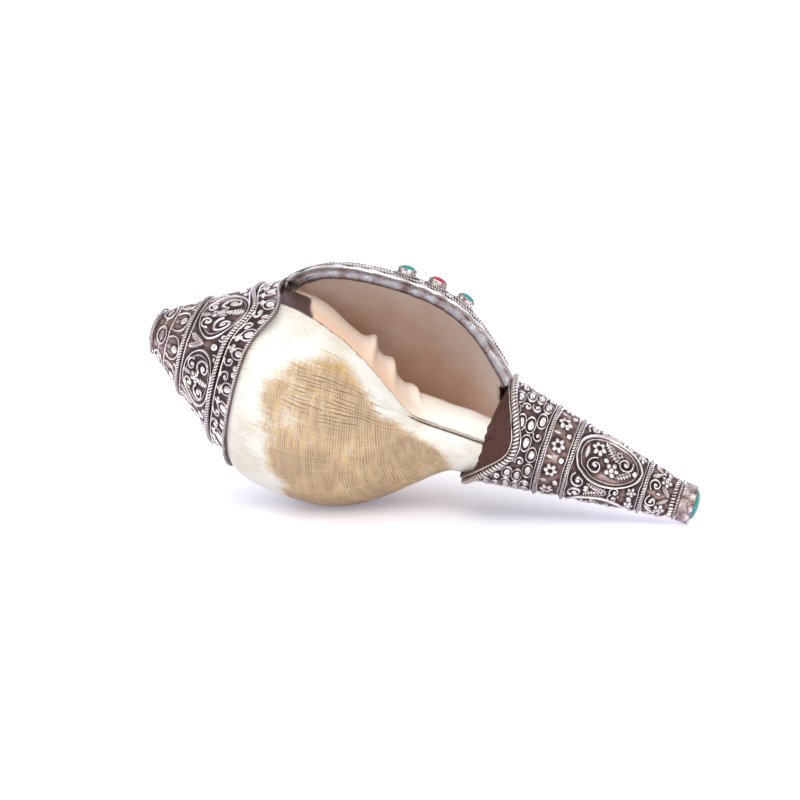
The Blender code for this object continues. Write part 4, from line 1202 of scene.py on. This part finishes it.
def stone(name, colour, vein, rough=0.1):
    """Mottled stone, or lac where it is rough."""
    n = Nodes(name)
    tone = n.noise(n.place(False), 0.5, 5.0)
    mottled = n.mix(n.range(tone, 0.45, 0.7), colour, vein)
    return n.finish(mottled, rough, n.bump(tone, 0.3, 0.3), Specular_IOR_Level=0.35)


def area_lamp(name, spot, size, power):
    data = bpy.data.lights.new(name, "AREA")
    data.shape, data.size, data.size_y = "RECTANGLE", *size
    data.energy = power
    lamp = bpy.data.objects.new(name, data)
    bpy.context.scene.collection.objects.link(lamp)
    lamp.location = spot
    lamp.rotation_mode = "QUATERNION"
    lamp.rotation_quaternion = (LAMP_TARGET - Vector(spot)).to_track_quat("-Z", "Y")


def background_seen(tree):
    """One for the rays that show the background: from the camera, off metal or through glass."""
    path = tree.nodes.new("ShaderNodeLightPath")
    total = path.outputs["Is Camera Ray"]
    for kind in ("Is Glossy Ray", "Is Transmission Ray"):
        add = tree.nodes.new("ShaderNodeMath")
        add.operation = "MAXIMUM"
        tree.links.new(total, add.inputs[0])
        tree.links.new(path.outputs[kind], add.inputs[1])
        total = add.outputs[0]
    return total


def stage_floor():
    """Pale floor that bends up into a backdrop, brighter to the camera than to the lamps; its violet glow is
    painted light in the object's shadow.
    """
    bend = np.linspace(0.1, math.pi / 2, 12)
    profile = [(FLOOR_FRONT, 0.0), (BACKDROP_START, 0.0)]
    profile += [(BACKDROP_START + BACKDROP_BEND * math.sin(a), BACKDROP_BEND - BACKDROP_BEND * math.cos(a))
                for a in bend]
    profile.append((BACKDROP_START + BACKDROP_BEND, BACKDROP_TOP))
    points = [(x, y, z) for y, z in profile for x in (-FLOOR_HALF, FLOOR_HALF)]
    mesh = bpy.data.meshes.new("floor")
    mesh.from_pydata(points, [], grid_faces(len(profile), 2).tolist())
    mesh.shade_smooth()
    floor = bpy.data.objects.new("floor", mesh)
    bpy.context.scene.collection.objects.link(floor)
    n = Nodes("floor")
    far = n.tree.nodes.new("ShaderNodeVectorMath")
    far.operation = "LENGTH"
    n.link(n.tree.nodes.new("ShaderNodeNewGeometry").outputs["Position"], far.inputs[0])
    # Painted light: the glow grows away from the object and paints a violet tint into its shadow
    glow = n.range(far.outputs["Value"], *FLOOR_GLOW_SPAN, *FLOOR_GLOW)
    for name, value in (("Base Color", FLOOR_WHITE), ("Roughness", 0.9), ("Emission Color", FLOOR_GLOW_VIOLET),
                        ("Emission Strength", n.times(background_seen(n.tree), glow))):
        n.link(value, n.shader.inputs[name])
    mesh.materials.append(n.material)


def build_light():
    """White world, darker near the horizon to all rays but those that show the background."""
    world = bpy.data.worlds.new("studio")
    bpy.context.scene.world = world
    world.use_nodes = True
    tree = world.node_tree
    back = tree.nodes["Background"]
    back.inputs["Color"].default_value = (1.0, 1.0, 1.0, 1.0)
    split = tree.nodes.new("ShaderNodeSeparateXYZ")
    tree.links.new(tree.nodes.new("ShaderNodeTexCoord").outputs["Generated"], split.inputs[0])
    sky = tree.nodes.new("ShaderNodeMapRange")
    for socket, value in zip(sky.inputs[1:5], (*SKY_HEIGHTS, *SKY_LIGHT)):
        socket.default_value = value
    tree.links.new(split.outputs["Z"], sky.inputs[0])
    strength = tree.nodes.new("ShaderNodeMix")
    strength.inputs[3].default_value = 1.0
    tree.links.new(background_seen(tree), strength.inputs[0])
    tree.links.new(sky.outputs[0], strength.inputs[2])
    tree.links.new(strength.outputs[0], back.inputs["Strength"])
    for lamp in LAMPS:
        area_lamp(*lamp)


def place_camera():
    """Camera at the photograph's angle."""
    scene = bpy.context.scene
    scene.view_settings.view_transform = "Standard"
    camera = bpy.data.objects.new("camera", bpy.data.cameras.new("camera"))
    scene.collection.objects.link(camera)
    scene.camera = camera
    camera.data.lens, camera.data.sensor_width = LENS, 36.0
    camera.data.clip_start, camera.data.clip_end = 0.05, 20.0
    back = Vector((math.sin(AZIMUTH) * math.cos(ELEVATION), -math.cos(AZIMUTH) * math.cos(ELEVATION),
                   math.sin(ELEVATION)))
    right = Vector((math.cos(AZIMUTH), math.sin(AZIMUTH), 0.0))
    aim = (box_before[0] + box_before[1]) / 2 - AIM_LEFT * right - AIM_DOWN * back.cross(right)
    camera.location = aim + DISTANCE * back
    camera.rotation_mode = "QUATERNION"
    camera.rotation_quaternion = (-back).to_track_quat("-Z", "Y")


def main():
    build_shell(shell_outside(), shell_inside())
    worked = silver("worked_silver", True)
    build_reliefs(worked)
    build_ropes(worked)
    build_band(worked)
    build_binding(silver("sheet_silver", True, SHEET_SILVER))
    build_fillet(stone("lac_fillet", *FILLET_LAC, LAC_ROUGH))
    build_collars(worked)
    finishes = {"silver": silver("plain_silver", False), "shell": shell_outside(),
                "turquoise": stone("turquoise", *TURQUOISE), "coral": stone("coral", *CORAL),
                # The lining's lac carries painted light and is paler than the fillet's
                "lac": stone("lac", *LINING_LAC_PAINTED_LIGHT, LAC_ROUGH)}
    for row in frame["record"]["subparts"]:
        node = frame["nodes"][row["node"]]
        node.data.materials.clear()
        node.data.materials.append(finishes[row["material_slot"]])
    stage_floor()
    build_light()
    place_camera()


main()
